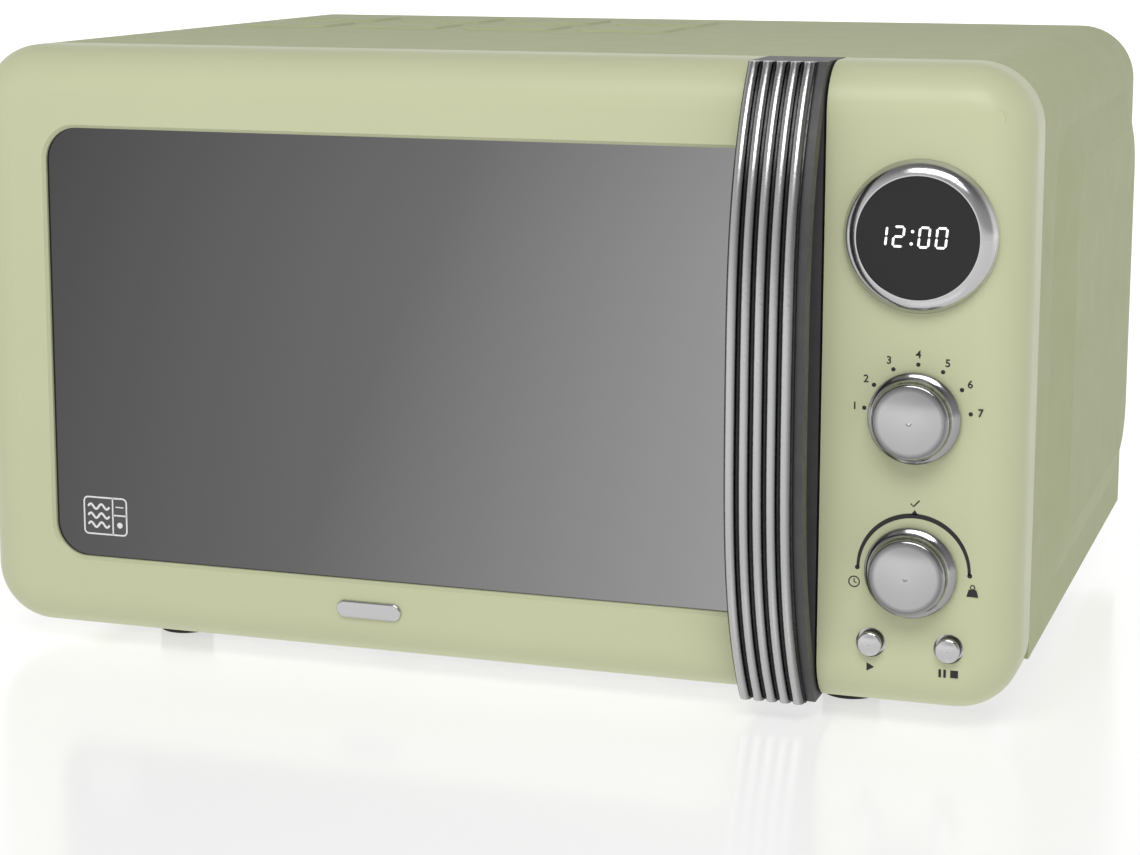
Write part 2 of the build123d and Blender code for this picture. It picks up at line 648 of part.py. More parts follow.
with BuildPart() as thermal_cutout:
    with BuildSketch(Plane.YZ.offset(BAY_LEFT + 0.2)):
        with Locations((SEAM + 214, 196)):
            Circle(8)
    extrude(amount=5)
    with Locations((BAY_LEFT + 5.2, SEAM + 210, 196), (BAY_LEFT + 5.2, SEAM + 218, 196)):
        Box(7, 0.8, 5, align=(Align.MIN, Align.CENTER, Align.CENTER))
thermal_cutout.part.label = "thermal_cutout"
export_step(thermal_cutout.part, "parts/thermal_cutout.step")

# ================================================================ turntable
WHEEL_RADIUS = 9.0
WHEEL_GAP = 0.3
WHEEL_TRACK = 98.0
AXLE_Z = WELL_FLOOR + WHEEL_GAP + WHEEL_RADIUS
TRAY_Z = AXLE_Z + WHEEL_RADIUS + WHEEL_GAP
TRAY_RADIUS = 122.5
SHAFT_RADIUS = 3.4
MOTOR_TOP = WELL_FLOOR - SHEET - 0.4

with BuildPart() as turntable_motor:
    with Locations((CAVITY_MID_X, TURN_Y, BASE_TOP + 0.6)):
        Cylinder(24.5, MOTOR_TOP - BASE_TOP - 0.6, align=(Align.CENTER, Align.CENTER, Align.MIN))
    with Locations((CAVITY_MID_X - 32, TURN_Y, MOTOR_TOP - 1), (CAVITY_MID_X + 32, TURN_Y, MOTOR_TOP - 1)):
        Box(22, 9, 1, align=(Align.CENTER, Align.CENTER, Align.MIN))
    with Locations((CAVITY_MID_X, TURN_Y, MOTOR_TOP - 6)):
        Cylinder(SHAFT_RADIUS + FIT, 8, align=(Align.CENTER, Align.CENTER, Align.MIN), mode=Mode.SUBTRACT)
turntable_motor.part.label = "turntable_motor"
export_step(turntable_motor.part, "parts/turntable_motor.step")

# drive shaft and the three-lobed coupler that it carries
with BuildPart() as coupler:
    with Locations((CAVITY_MID_X, TURN_Y, MOTOR_TOP - 5.8)):
        Cylinder(SHAFT_RADIUS, 16, align=(Align.CENTER, Align.CENTER, Align.MIN))
    with Locations((CAVITY_MID_X, TURN_Y, CAVITY_FLOOR)):
        Cylinder(9, TRAY_Z - 1.5 - CAVITY_FLOOR, align=(Align.CENTER, Align.CENTER, Align.MIN))
    with BuildSketch(Plane.XY.offset(TRAY_Z - 8)):
        with Locations((CAVITY_MID_X, TURN_Y)):
            with PolarLocations(9, 3):
                SlotOverall(22, 9)
    extrude(amount=6.5)
coupler.part.label = "coupler"
export_step(coupler.part, "parts/coupler.step")

with BuildPart() as glass_tray:
    with BuildSketch(Plane(origin=(CAVITY_MID_X, TURN_Y, TRAY_Z), x_dir=(1, 0, 0), z_dir=(0, -1, 0))):
        with BuildLine():
            Polyline((0, 0), (104, 0), (113, 2.5), (TRAY_RADIUS - 1, 12), (TRAY_RADIUS, 14.5))
            Polyline((TRAY_RADIUS, 14.5), (TRAY_RADIUS - 2.5, 15), (111, 6.8), (103, 4.4), (0, 4.4), (0, 0))
        make_face()
    revolve(axis=Axis((CAVITY_MID_X, TURN_Y, 0), (0, 0, 1)))
    # lugs that the coupler's lobes push against
    with BuildSketch(Plane.XY.offset(TRAY_Z)):
        with Locations((CAVITY_MID_X, TURN_Y)):
            with PolarLocations(17, 3, start_angle=60):
                Circle(3.2)
    extrude(amount=-6)
glass_tray.part.label = "glass_tray"
export_step(glass_tray.part, "parts/glass_tray.step")

with BuildPart() as roller_ring:
    with BuildSketch(Plane.XY.offset(AXLE_Z - 3.5)):
        with Locations((CAVITY_MID_X, TURN_Y)):
            Circle(91)
            Circle(84, mode=Mode.SUBTRACT)
    extrude(amount=7)
    for index in range(3):
        angle = radians(120 * index + 30)
        outward = Vector(cos(angle), sin(angle), 0)
        root = Vector(CAVITY_MID_X, TURN_Y, AXLE_Z) + outward * 88
        with BuildSketch(Plane(origin=root, x_dir=(0, 0, 1), z_dir=outward)):
            Circle(2)
        extrude(amount=16)
roller_ring.part.label = "roller_ring"
export_step(roller_ring.part, "parts/roller_ring.step")


def roller(index):
    """Wheel on one axle of the roller ring."""
    angle = radians(120 * index + 30)
    outward = Vector(cos(angle), sin(angle), 0)
    hub = Vector(CAVITY_MID_X, TURN_Y, AXLE_Z) + outward * (WHEEL_TRACK - 4)
    with BuildPart() as wheel:
        with BuildSketch(Plane(origin=hub, x_dir=(0, 0, 1), z_dir=outward)):
            Circle(WHEEL_RADIUS)
            Circle(2 + FIT, mode=Mode.SUBTRACT)
        extrude(amount=8)
        chamfer(wheel.edges().filter_by(GeomType.CIRCLE).group_by(SortBy.RADIUS)[-1], 1)
    return wheel.part


with BuildPart() as roller_1:
    add(roller(0))
roller_1.part.label = "roller_1"
export_step(roller_1.part, "parts/roller_1.step")

with BuildPart() as roller_2:
    add(roller(1))
roller_2.part.label = "roller_2"
export_step(roller_2.part, "parts/roller_2.step")

with BuildPart() as roller_3:
    add(roller(2))
roller_3.part.label = "roller_3"
export_step(roller_3.part, "parts/roller_3.step")

# ================================================================ door
TAB_SLOT = 4.4
WINDOW_MID_Z = (WINDOW_BOTTOM + WINDOW_TOP) / 2
DOOR_MID_X = -41.5
with BuildPart() as door_hollow:
    add(INNER_FRONT)
    add(INNER_CORNER, mode=Mode.SUBTRACT)

with BuildPart() as door_frame:
    add(OUTER_FRONT)
    add(door_hollow.part, mode=Mode.SUBTRACT)
    split(bisect_by=Plane.YZ.offset(HANDLE_LEFT - 0.1), keep=Keep.BOTTOM)
    # window opening, which runs on under the handle strip
    with BuildSketch(front_plane(FACE_Y - 1)):
        with Locations((WINDOW_LEFT, WINDOW_MID_Z)):
            RectangleRounded(400, WINDOW_TOP - WINDOW_BOTTOM, 14.5, align=(Align.MIN, Align.CENTER))
    extrude(amount=-(WALL + 2), mode=Mode.SUBTRACT)
    rim = door_frame.faces().sort_by(Axis.Y)[0].edges().filter_by_position(Axis.Z, WINDOW_BOTTOM - 0.1,
                                                                           WINDOW_TOP + 0.1)
    chamfer(rim.filter_by_position(Axis.X, WINDOW_LEFT - 0.1, HANDLE_LEFT - 0.2), 1.3)
    # rounded back corner that lets the door swing
    with BuildSketch(Plane.XY.offset(FRONT_BOTTOM - 1)):
        with Locations((PIN_X, PIN_Y)):
            Rectangle(30, 30, align=(Align.MAX, Align.MIN))
            Circle(FRONT_BACK - PIN_Y, mode=Mode.SUBTRACT)
    extrude(amount=FRONT_HEIGHT + 2, mode=Mode.SUBTRACT)
    # slots for the hinge tabs
    with Locations((PIN_X + 6.5, PIN_Y - 6.5, LOWER_TAB_Z), (PIN_X + 6.5, PIN_Y - 6.5, UPPER_TAB_Z)):
        Box(40, 40, TAB_SLOT, align=(Align.MAX, Align.MIN, Align.CENTER), mode=Mode.SUBTRACT)
door_frame.part.label = "door_frame"
export_step(door_frame.part, "parts/door_frame.step")

with BuildPart() as door_glass:
    with BuildSketch(front_plane(FACE_Y + WALL + 0.1)):
        with Locations((WINDOW_LEFT - 6, WINDOW_MID_Z)):
            RectangleRounded(HANDLE_LEFT - 0.3 - WINDOW_LEFT + 6, WINDOW_TOP - WINDOW_BOTTOM + 12, 5,
                             align=(Align.MIN, Align.CENTER))
    extrude(amount=-3)
door_glass.part.label = "door_glass"
export_step(door_glass.part, "parts/door_glass.step")

# steel pan with a flanged edge and two hinge ears
PAN_Y = SEAM - 14
PAN_LEFT = PIN_X + 10
PAN_RIGHT = HANDLE_RIGHT - 6
with BuildPart() as door_plate:
    with BuildSketch(front_plane(PAN_Y)):
        with Locations(((PAN_LEFT + PAN_RIGHT) / 2, FRONT_MID_Z)):
            RectangleRounded(PAN_RIGHT - PAN_LEFT, FRONT_HEIGHT - 20, 12)
    extrude(amount=1.2)
    with BuildSketch(front_plane(PAN_Y)):
        with Locations(((PAN_LEFT + PAN_RIGHT) / 2, FRONT_MID_Z)):
            RectangleRounded(PAN_RIGHT - PAN_LEFT, FRONT_HEIGHT - 20, 12)
            RectangleRounded(PAN_RIGHT - PAN_LEFT - 2.4, FRONT_HEIGHT - 22.4, 10.8, mode=Mode.SUBTRACT)
    extrude(amount=-9)
    with BuildSketch(front_plane(PAN_Y + 1)):
        with Locations((DOOR_MID_X, FRONT_MID_Z)):
            RectangleRounded(273, 146, 6)
    extrude(amount=4, mode=Mode.SUBTRACT)
    for ear_z in (LOWER_TAB_Z + 7, UPPER_TAB_Z - 7):
        with BuildSketch(Plane.XY.offset(ear_z - 1)):
            with Locations((PIN_X, PIN_Y)):
                Circle(6)
                Rectangle(PAN_LEFT + 1 - PIN_X, 12, align=(Align.MIN, Align.CENTER))
                Circle(PIN_RADIUS + FIT, mode=Mode.SUBTRACT)
        extrude(amount=2)
door_plate.part.label = "door_plate"
export_step(door_plate.part, "parts/door_plate.step")

# perforated screen over the pan's opening
with BuildPart() as door_screen:
    with BuildSketch(front_plane(PAN_Y - 1.3)):
        with Locations((DOOR_MID_X, FRONT_MID_Z)):
            RectangleRounded(289, 162, 6)
    extrude(amount=0.8)
door_screen.part.label = "door_screen"
export_step(door_screen.part, "parts/door_screen.step")

with BuildPart() as inner_window:
    with BuildSketch(front_plane(PAN_Y + 1.1)):
        with Locations((DOOR_MID_X, FRONT_MID_Z)):
            RectangleRounded(312, 214, 8)
    extrude(amount=1)
inner_window.part.label = "inner_window"
export_step(inner_window.part, "parts/inner_window.step")

# trim that covers the pan's channel on the oven side
with BuildPart() as choke_cover:
    with BuildSketch(front_plane(FRONT_BACK)):
        with Locations(((PAN_LEFT + PAN_RIGHT) / 2, FRONT_MID_Z)):
            RectangleRounded(PAN_RIGHT - PAN_LEFT, FRONT_HEIGHT - 20, 12)
        with Locations((DOOR_MID_X, FRONT_MID_Z)):
            RectangleRounded(281, 154, 8, mode=Mode.SUBTRACT)
        with Locations(*[(HOOK_X, z + 1) for z in HOOK_ZS]):
            Rectangle(9, 22, mode=Mode.SUBTRACT)
    extrude(amount=3)
    with BuildSketch(front_plane(FRONT_BACK - 3)):
        with Locations((DOOR_MID_X, FRONT_MID_Z)):
            RectangleRounded(285, 158, 9)
            RectangleRounded(281, 154, 8, mode=Mode.SUBTRACT)
    extrude(amount=8.6)
choke_cover.part.label = "choke_cover"
export_step(choke_cover.part, "parts/choke_cover.step")

with BuildPart() as door_badge:
    with BuildSketch(front_plane(FACE_Y)):
        with Locations((-43, FRONT_BOTTOM + 21.8)):
            SlotOverall(29, 7.5)
    extrude(amount=1.4)
    fillet(door_badge.faces().sort_by(Axis.Y)[0].edges(), 1)
door_badge.part.label = "door_badge"
export_step(door_badge.part, "parts/door_badge.step")

# ---- handle: moulded strip with a bowed grip, and a ribbed bright cover along its crest
RIB_COUNT = 5
RIB_PITCH = 5.4
RIB_WIDTH = 4.4
COVER_DEPTH = 5.4
COVER_GAP = 0.3            # air between the cover and the strip behind it
COVER_WIDTH = 27.0         # the strip shows dark beside the cover, on the panel's side
GRIP_DEPTH = 12.8
BOW_POWER = 3.2
BOW_FOOT = 36.5


def bow_line(behind, reach=1.0, count=13):
    """Points down the handle's curve, a given distance behind its crest.
    reach is how far the curve runs, as a share of the half height."""
    points = []
    for index in range(count):
        share = reach * (1 - 2 * index / (count - 1))
        ahead = BOW_FOOT + (HANDLE_REACH - BOW_FOOT) * (1 - abs(share) ** BOW_POWER)
        points.append((SEAM - ahead + behind, FRONT_MID_Z + share * FRONT_HEIGHT / 2))
    return points


GRIP_SHARE = (1 - (FRONT_DEPTH + GRIP_DEPTH - BOW_FOOT) / (HANDLE_REACH - BOW_FOOT)) ** (1 / BOW_POWER)
with BuildPart() as handle_body:
    with BuildSketch(Plane.YZ.offset(HANDLE_LEFT)):
        front_curve = bow_line(COVER_DEPTH)
        with BuildLine():
            Spline(*front_curve)
            Polyline(front_curve[-1], (FRONT_BACK, FRONT_BOTTOM), (FRONT_BACK, FRONT_TOP), front_curve[0])
        make_face()
    extrude(amount=HANDLE_RIGHT - HANDLE_LEFT)
    # finger gap
    with BuildSketch(Plane.YZ.offset(HANDLE_LEFT - 1)):
        gap_curve = bow_line(GRIP_DEPTH, GRIP_SHARE)
        with BuildLine():
            Spline(*gap_curve)
            Line(gap_curve[-1], gap_curve[0])
        make_face()
    extrude(amount=HANDLE_RIGHT - HANDLE_LEFT + 2, mode=Mode.SUBTRACT)
    # hollow back, open towards the door frame
    with Locations((HANDLE_LEFT + 3, FRONT_BACK, FRONT_MID_Z)):
        Box(HANDLE_RIGHT - HANDLE_LEFT - 6, 28.4, FRONT_HEIGHT - 6,
            align=(Align.MIN, Align.MAX, Align.CENTER), mode=Mode.SUBTRACT)
    with Locations((HANDLE_LEFT - 1, FRONT_BACK, FRONT_MID_Z)):
        Box(6, 17, FRONT_HEIGHT - 6, align=(Align.MIN, Align.MAX, Align.CENTER), mode=Mode.SUBTRACT)
handle_body.part.label = "handle_body"
export_step(handle_body.part, "parts/handle_body.step")

with BuildPart() as handle_cover:
    with BuildSketch(Plane.YZ.offset(HANDLE_LEFT)):
        outer = bow_line(2.9)
        inner = bow_line(COVER_DEPTH - COVER_GAP)
        with BuildLine():
            Spline(*outer)
            Line(outer[-1], inner[-1])
            Spline(*inner)
            Line(outer[0], inner[0])
        make_face()
    extrude(amount=COVER_WIDTH)
    for index in range(RIB_COUNT):
        rib_x = HANDLE_LEFT + COVER_WIDTH / 2 + (index - (RIB_COUNT - 1) / 2) * RIB_PITCH
        with BuildLine(Plane.YZ.offset(rib_x)) as spine:
            Spline(*bow_line(RIB_WIDTH / 2, 1.04))
        with BuildSketch(Plane(origin=spine.line @ 0, x_dir=(1, 0, 0), z_dir=spine.line % 0)):
            Circle(RIB_WIDTH / 2)
        sweep(path=spine.line)
    split(bisect_by=Plane.XY.offset(FRONT_TOP), keep=Keep.BOTTOM)
    split(bisect_by=Plane.XY.offset(FRONT_BOTTOM), keep=Keep.TOP)
handle_cover.part.label = "handle_cover"
export_step(handle_cover.part, "parts/handle_cover.step")

# ---- latch bar with two hooks, pressed down by a spring
BAR_TOP = 214.0
SPRING_TOP = 236.0
with BuildPart() as latch_bar:
    with Locations((HOOK_X, SEAM - 9, (66 + BAR_TOP) / 2)):
        Box(9, 3, BAR_TOP - 66, align=(Align.CENTER, Align.MAX, Align.CENTER))
    for hook_z in HOOK_ZS:
        with BuildSketch(Plane.YZ.offset(HOOK_X - 3)):
            with BuildLine():
                Polyline((SEAM - 10, hook_z - 3), (SEAM + 8, hook_z - 3), (SEAM + 8, hook_z - 7),
                         (SEAM + 14, hook_z), (SEAM + 14, hook_z + 3), (SEAM - 10, hook_z + 3),
                         (SEAM - 10, hook_z - 3))
            make_face()
        extrude(amount=6)
latch_bar.part.label = "latch_bar"
export_step(latch_bar.part, "parts/latch_bar.step")

with BuildPart() as latch_spring:
    with BuildLine() as coil:
        Helix(pitch=3.2, height=SPRING_TOP - BAR_TOP - 1.4, radius=3,
              center=(HOOK_X, SEAM - 10.5, BAR_TOP + 0.7))
    with BuildSketch(Plane(origin=coil.line @ 0, z_dir=coil.line % 0)):
        Circle(0.5)
    sweep()
latch_spring.part.label = "latch_spring"
export_step(latch_spring.part, "parts/latch_spring.step")

# ================================================================ control panel
with BuildPart() as panel_hollow:
    add(INNER_FRONT)
    split(bisect_by=Plane.YZ.offset(PANEL_LEFT + WALL), keep=Keep.TOP)

BOSS_SPOTS = [(x, z) for x in (158, 212) for z in (36, 242)]
with BuildPart() as control_panel:
    add(OUTER_FRONT)
    split(bisect_by=Plane.YZ.offset(PANEL_LEFT), keep=Keep.TOP)
    add(panel_hollow.part, mode=Mode.SUBTRACT)
    with BuildSketch(front_plane(FRONT_BACK)):
        with Locations(*BOSS_SPOTS):
            Circle(3.6)
            Circle(1.4, mode=Mode.SUBTRACT)
    extrude(amount=FRONT_BACK - FACE_Y - 2.2)
    with BuildSketch(front_plane(FACE_Y - 1)):
        with Locations((DIAL_X + 0.5, DISPLAY_Z)):
            Circle(25)
        with Locations((DIAL_X, SELECTOR_Z), (DIAL_X, TIMER_Z)):
            Circle(5)
        with Locations((START_X, BUTTON_Z), (CANCEL_X, BUTTON_Z)):
            Circle(5.9)
    extrude(amount=-(WALL + 2), mode=Mode.SUBTRACT)
control_panel.part.label = "control_panel"
export_step(control_panel.part, "parts/control_panel.step")

# bright display ring: a collar in the panel hole and a crowned cone ahead of it
DISPLAY_X = DIAL_X + 0.5
with BuildPart() as display_bezel:
    with BuildSketch(lathe_plane(DISPLAY_X, DISPLAY_Z)):
        with BuildLine():
            Polyline((23.5, -4), (23.5, 6.2), (23.7, 6.6), (24.2, 6.6))
            ThreePointArc((24.2, 6.6), (27.8, 4.6), (29.5, 1.2))
            Polyline((29.5, 1.2), (29.7, 0.9), (29.7, 0.05), (24.9, 0.05), (24.9, -4), (23.5, -4))
        make_face()
    revolve(axis=lathe_axis(DISPLAY_X, DISPLAY_Z))
display_bezel.part.label = "display_bezel"
export_step(display_bezel.part, "parts/display_bezel.step")

with BuildPart() as display_window:
    with BuildSketch(front_plane(FACE_Y - 4.3)):
        with Locations((DISPLAY_X, DISPLAY_Z)):
            Circle(23.45)
    extrude(amount=1.9)
display_window.part.label = "display_window"
export_step(display_window.part, "parts/display_window.step")

# circuit board with the display block, a relay and a small transformer
BOARD_Y = SEAM - 13
with BuildPart() as control_board:
    with BuildSketch(front_plane(BOARD_Y)):
        with Locations((DIAL_X + 2, 136)):
            RectangleRounded(66, 182, 2)
        with Locations((DIAL_X, 36)):
            Rectangle(44, 22)
    extrude(amount=1.6)
    with Locations((DISPLAY_X, BOARD_Y - 1.6, DISPLAY_Z)):
        Box(38, BOARD_Y - 1.6 - FACE_Y + 4, 20, align=(Align.CENTER, Align.MAX, Align.CENTER))
    with Locations((170, BOARD_Y, 90)):
        Box(20, 14, 16, align=(Align.CENTER, Align.MIN, Align.CENTER))
    with Locations((184, BOARD_Y, 170)):
        Box(34, 26, 30, align=(Align.CENTER, Align.MIN, Align.CENTER))
control_board.part.label = "control_board"
export_step(control_board.part, "parts/control_board.step")

# rotary encoders on the board and push switches behind the buttons
SHAFT_END = SEAM - 18.5
with BuildPart() as encoders:
    with Locations(*[(DIAL_X, BOARD_Y - 1.7, z) for z in (SELECTOR_Z, TIMER_Z)]):
        Box(13, 7, 13, align=(Align.CENTER, Align.MAX, Align.CENTER))
    with BuildSketch(front_plane(BOARD_Y - 8.7)):
        with Locations((DIAL_X, SELECTOR_Z), (DIAL_X, TIMER_Z)):
            Circle(4.5)
    extrude(amount=6)
    with BuildSketch(front_plane(BOARD_Y - 2.6)):
        with Locations((DIAL_X, SELECTOR_Z), (DIAL_X, TIMER_Z)):
            Circle(3 + FIT)
    extrude(amount=20, mode=Mode.SUBTRACT)
encoders.part.label = "encoders"
export_step(encoders.part, "parts/encoders.step")

with BuildPart() as timer_plunger:
    with BuildSketch(front_plane(SHAFT_END + 1.6)):
        with Locations((DIAL_X, TIMER_Z)):
            Circle(2.9)
    extrude(amount=1.5)
timer_plunger.part.label = "timer_plunger"
export_step(timer_plunger.part, "parts/timer_plunger.step")

with BuildPart() as push_switches:
    with Locations((START_X, BOARD_Y - 1.7, BUTTON_Z), (CANCEL_X, BOARD_Y - 1.7, BUTTON_Z)):
        Box(6, 3.6, 6, align=(Align.CENTER, Align.MAX, Align.CENTER))
        Cylinder(1.75, 6.4, rotation=(90, 0, 0), align=(Align.CENTER, Align.CENTER, Align.MIN))
push_switches.part.label = "push_switches"
export_step(push_switches.part, "parts/push_switches.step")


def shaft(z):
    """Encoder shaft from inside the encoder into the knob."""
    with BuildPart() as rod:
        with BuildSketch(front_plane(SHAFT_END)):
            with Locations((DIAL_X, z)):
                Circle(3)
        extrude(amount=SHAFT_END - FACE_Y + 8)
    return rod.part


def knob(z):
    """Turned knob: wide foot, waisted neck and a crowned face with a rounded rim."""
    with BuildPart() as turned:
        with BuildSketch(lathe_plane(DIAL_X, z)):
            with BuildLine():
                Polyline((3.03, 1.2), (17.6, 1.2), (18, 1.6), (18, 2.6))
                Spline((18, 2.6), (16.6, 3.8), (15.2, 5.4), (14.8, 7.2), (15, 9.4),
                       tangents=((-0.4, 1), (0.1, 1)))
                ThreePointArc((15, 9.4), (14.6, 11), (13.4, 11.5))
                TangentArc((0, 12.7), (13.4, 11.5), tangent=(1, 0))
                Polyline((0, 12.7), (0, 8.2), (3.03, 8.2), (3.03, 1.2))
            make_face()
        revolve(axis=lathe_axis(DIAL_X, z))
    return turned.part


with BuildPart() as selector_shaft:
    add(shaft(SELECTOR_Z))
selector_shaft.part.label = "selector_shaft"
export_step(selector_shaft.part, "parts/selector_shaft.step")

with BuildPart() as selector_knob:
    add(knob(SELECTOR_Z))
selector_knob.part.label = "selector_knob"
export_step(selector_knob.part, "parts/selector_knob.step")

with BuildPart() as timer_shaft:
    add(shaft(TIMER_Z))
timer_shaft.part.label = "timer_shaft"
export_step(timer_shaft.part, "parts/timer_shaft.step")

with BuildPart() as timer_knob:
    add(knob(TIMER_Z))
timer_knob.part.label = "timer_knob"
export_step(timer_knob.part, "parts/timer_knob.step")


def push_button(x):
    """Crowned cap in the panel hole, a retaining flange behind the panel and a stem."""
    with BuildPart() as turned:
        with BuildSketch(lathe_plane(x, BUTTON_Z)):
            with BuildLine():
                Polyline((0, -11.6), (2.4, -11.6), (2.4, -5), (7.2, -5), (7.2, -3.2), (4.9, -3.2), (4.9, 2.6))
                ThreePointArc((4.9, 2.6), (4.6, 3.4), (3.8, 3.7))
                TangentArc((0, 4.1), (3.8, 3.7), tangent=(1, 0))
                Line((0, 4.1), (0, -11.6))
            make_face()
        revolve(axis=lathe_axis(x, BUTTON_Z))
    return turned.part


with BuildPart() as start_button:
    add(push_button(START_X))
start_button.part.label = "start_button"
export_step(start_button.part, "parts/start_button.step")

with BuildPart() as cancel_button:
    add(push_button(CANCEL_X))
cancel_button.part.label = "cancel_button"
export_step(cancel_button.part, "parts/cancel_button.step")
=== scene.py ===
import json
from math import cos, pi, radians, sin

import bmesh
import bpy
from mathutils import Matrix, Vector


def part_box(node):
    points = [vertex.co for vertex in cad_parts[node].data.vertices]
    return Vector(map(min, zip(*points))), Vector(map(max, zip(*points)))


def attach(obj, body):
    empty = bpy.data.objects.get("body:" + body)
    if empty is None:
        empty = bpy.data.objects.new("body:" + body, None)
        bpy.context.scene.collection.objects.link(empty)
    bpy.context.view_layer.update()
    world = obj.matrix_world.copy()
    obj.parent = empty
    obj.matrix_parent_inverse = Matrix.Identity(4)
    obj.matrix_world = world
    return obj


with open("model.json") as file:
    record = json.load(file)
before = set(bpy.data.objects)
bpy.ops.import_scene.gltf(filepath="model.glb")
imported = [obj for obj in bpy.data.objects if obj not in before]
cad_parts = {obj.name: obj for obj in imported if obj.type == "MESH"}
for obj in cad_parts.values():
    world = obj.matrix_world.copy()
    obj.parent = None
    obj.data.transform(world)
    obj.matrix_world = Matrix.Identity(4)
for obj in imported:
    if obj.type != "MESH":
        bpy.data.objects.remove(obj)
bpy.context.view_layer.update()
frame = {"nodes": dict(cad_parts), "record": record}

MM = 0.001
NODES = frame["nodes"]


def centre(node):
    """Middle of a CAD node's box, in metres."""
    low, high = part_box(node)
    return (Vector(low) + Vector(high)) / 2


def new_object(name, data):
    """New object with the given data, linked to the scene."""
    made = bpy.data.objects.new(name, data)
    bpy.context.scene.collection.objects.link(made)
    return made


# ---------------------------------------------------------------- camera, floor and light
SENSOR = 36                # camera sensor width in mm
LENS = 83.6                # focal length in mm
LENS_SHIFT = (0.0375, -0.07)
CAMERA_PLACE = Vector((370, -1147.5, 323)) * MM
CAMERA_TURN = radians(19.04)
CAMERA_TILT = radians(9.60)

FLOOR_SIZE = 12

KEY_PLACE = Vector((0.35, -1.6, 1.8))
KEY_TARGET = Vector((0.05, -0.1, 0.2))
KEY_SIZE = (1.6, 1.0)      # width and height in metres
KEY_POWER = 30             # watts

LEFT_LEVEL = 0.80          # brightness of the room ahead of the oven, on its left
RIGHT_LEVEL = 0.45         # and on its right
BEHIND_LEVEL = 1.0
ZENITH = 0.30              # brightness overhead against the horizon


def look(obj, direction):
    """Points a camera or lamp along a direction, its top up."""
    obj.rotation_mode = "QUATERNION"
    obj.rotation_quaternion = Vector(direction).to_track_quat("-Z", "Y")


def make_camera():
    """Camera ahead and to the right of the oven, a little above it, turned left and tilted down."""
    data = bpy.data.cameras.new("camera")
    data.sensor_width = SENSOR
    data.lens = LENS
    data.shift_x, data.shift_y = LENS_SHIFT
    data.clip_end = 60
    camera = new_object("camera", data)
    camera.location = CAMERA_PLACE
    level = cos(CAMERA_TILT)
    look(camera, (-sin(CAMERA_TURN) * level, cos(CAMERA_TURN) * level, -sin(CAMERA_TILT)))
    bpy.context.scene.camera = camera


def make_floor():
    """White table top, faintly glossy."""
    bm = bmesh.new()
    bmesh.ops.create_grid(bm, x_segments=8, y_segments=8, size=FLOOR_SIZE)
    mesh = bpy.data.meshes.new("floor")
    bm.to_mesh(mesh)
    bm.free()
    floor = new_object("floor", mesh)
    mesh.materials.append(MATERIALS["floor"])


def make_key_lamp():
    """Large soft lamp above and ahead of the oven; unseen by the camera itself."""
    data = bpy.data.lights.new("key", "AREA")
    data.shape = "RECTANGLE"
    data.size, data.size_y = KEY_SIZE
    data.energy = KEY_POWER
    lamp = new_object("key", data)
    lamp.location = KEY_PLACE
    lamp.visible_camera = False
    look(lamp, KEY_TARGET - KEY_PLACE)


def make_world():
    """White room behind the oven; ahead of it the room darkens from left to right."""
    world = bpy.data.worlds.new("studio")
    world.use_nodes = True
    nodes, links = world.node_tree.nodes, world.node_tree.links
    background = nodes["Background"]
    coords = nodes.new("ShaderNodeTexCoord")
    split = nodes.new("ShaderNodeSeparateXYZ")
    links.new(coords.outputs["Generated"], split.inputs[0])

    def remap(axis, start, end, low, high):
        made = nodes.new("ShaderNodeMapRange")
        made.interpolation_type = "SMOOTHSTEP"
        made.inputs["From Min"].default_value = start
        made.inputs["From Max"].default_value = end
        made.inputs["To Min"].default_value = low
        made.inputs["To Max"].default_value = high
        links.new(split.outputs[axis], made.inputs["Value"])
        return made.outputs["Result"]

    def joined(operation, a, b):
        made = nodes.new("ShaderNodeMath")
        made.operation = operation
        links.new(a, made.inputs[0])
        links.new(b, made.inputs[1])
        return made.outputs[0]

    ahead = remap("X", -0.6, 0.6, LEFT_LEVEL, RIGHT_LEVEL)
    behind = remap("Y", -0.15, 0.25, 0, BEHIND_LEVEL)
    overhead = remap("Z", 0.05, 0.85, 1, ZENITH)
    level = joined("MULTIPLY", joined("MAXIMUM", ahead, behind), overhead)
    links.new(level, background.inputs["Strength"])
    background.inputs["Color"].default_value = (1, 1, 1, 1)
    bpy.context.scene.world = world


# ---------------------------------------------------------------- materials
SAGE = (0.560, 0.585, 0.372)           # the plastic front
SAGE_STEEL = (0.455, 0.490, 0.285)     # the painted sheet, a little darker; the darkening is partly painted shade for the dimmer sides and roof
HANDLE_RIBS = 5


def grey(level):
    """Neutral grey."""
    return (level, level, level)


def cool(level):
    """Grey of bare metal or a mirror coating, very slightly blue."""
    return (level, level, level * 1.01)


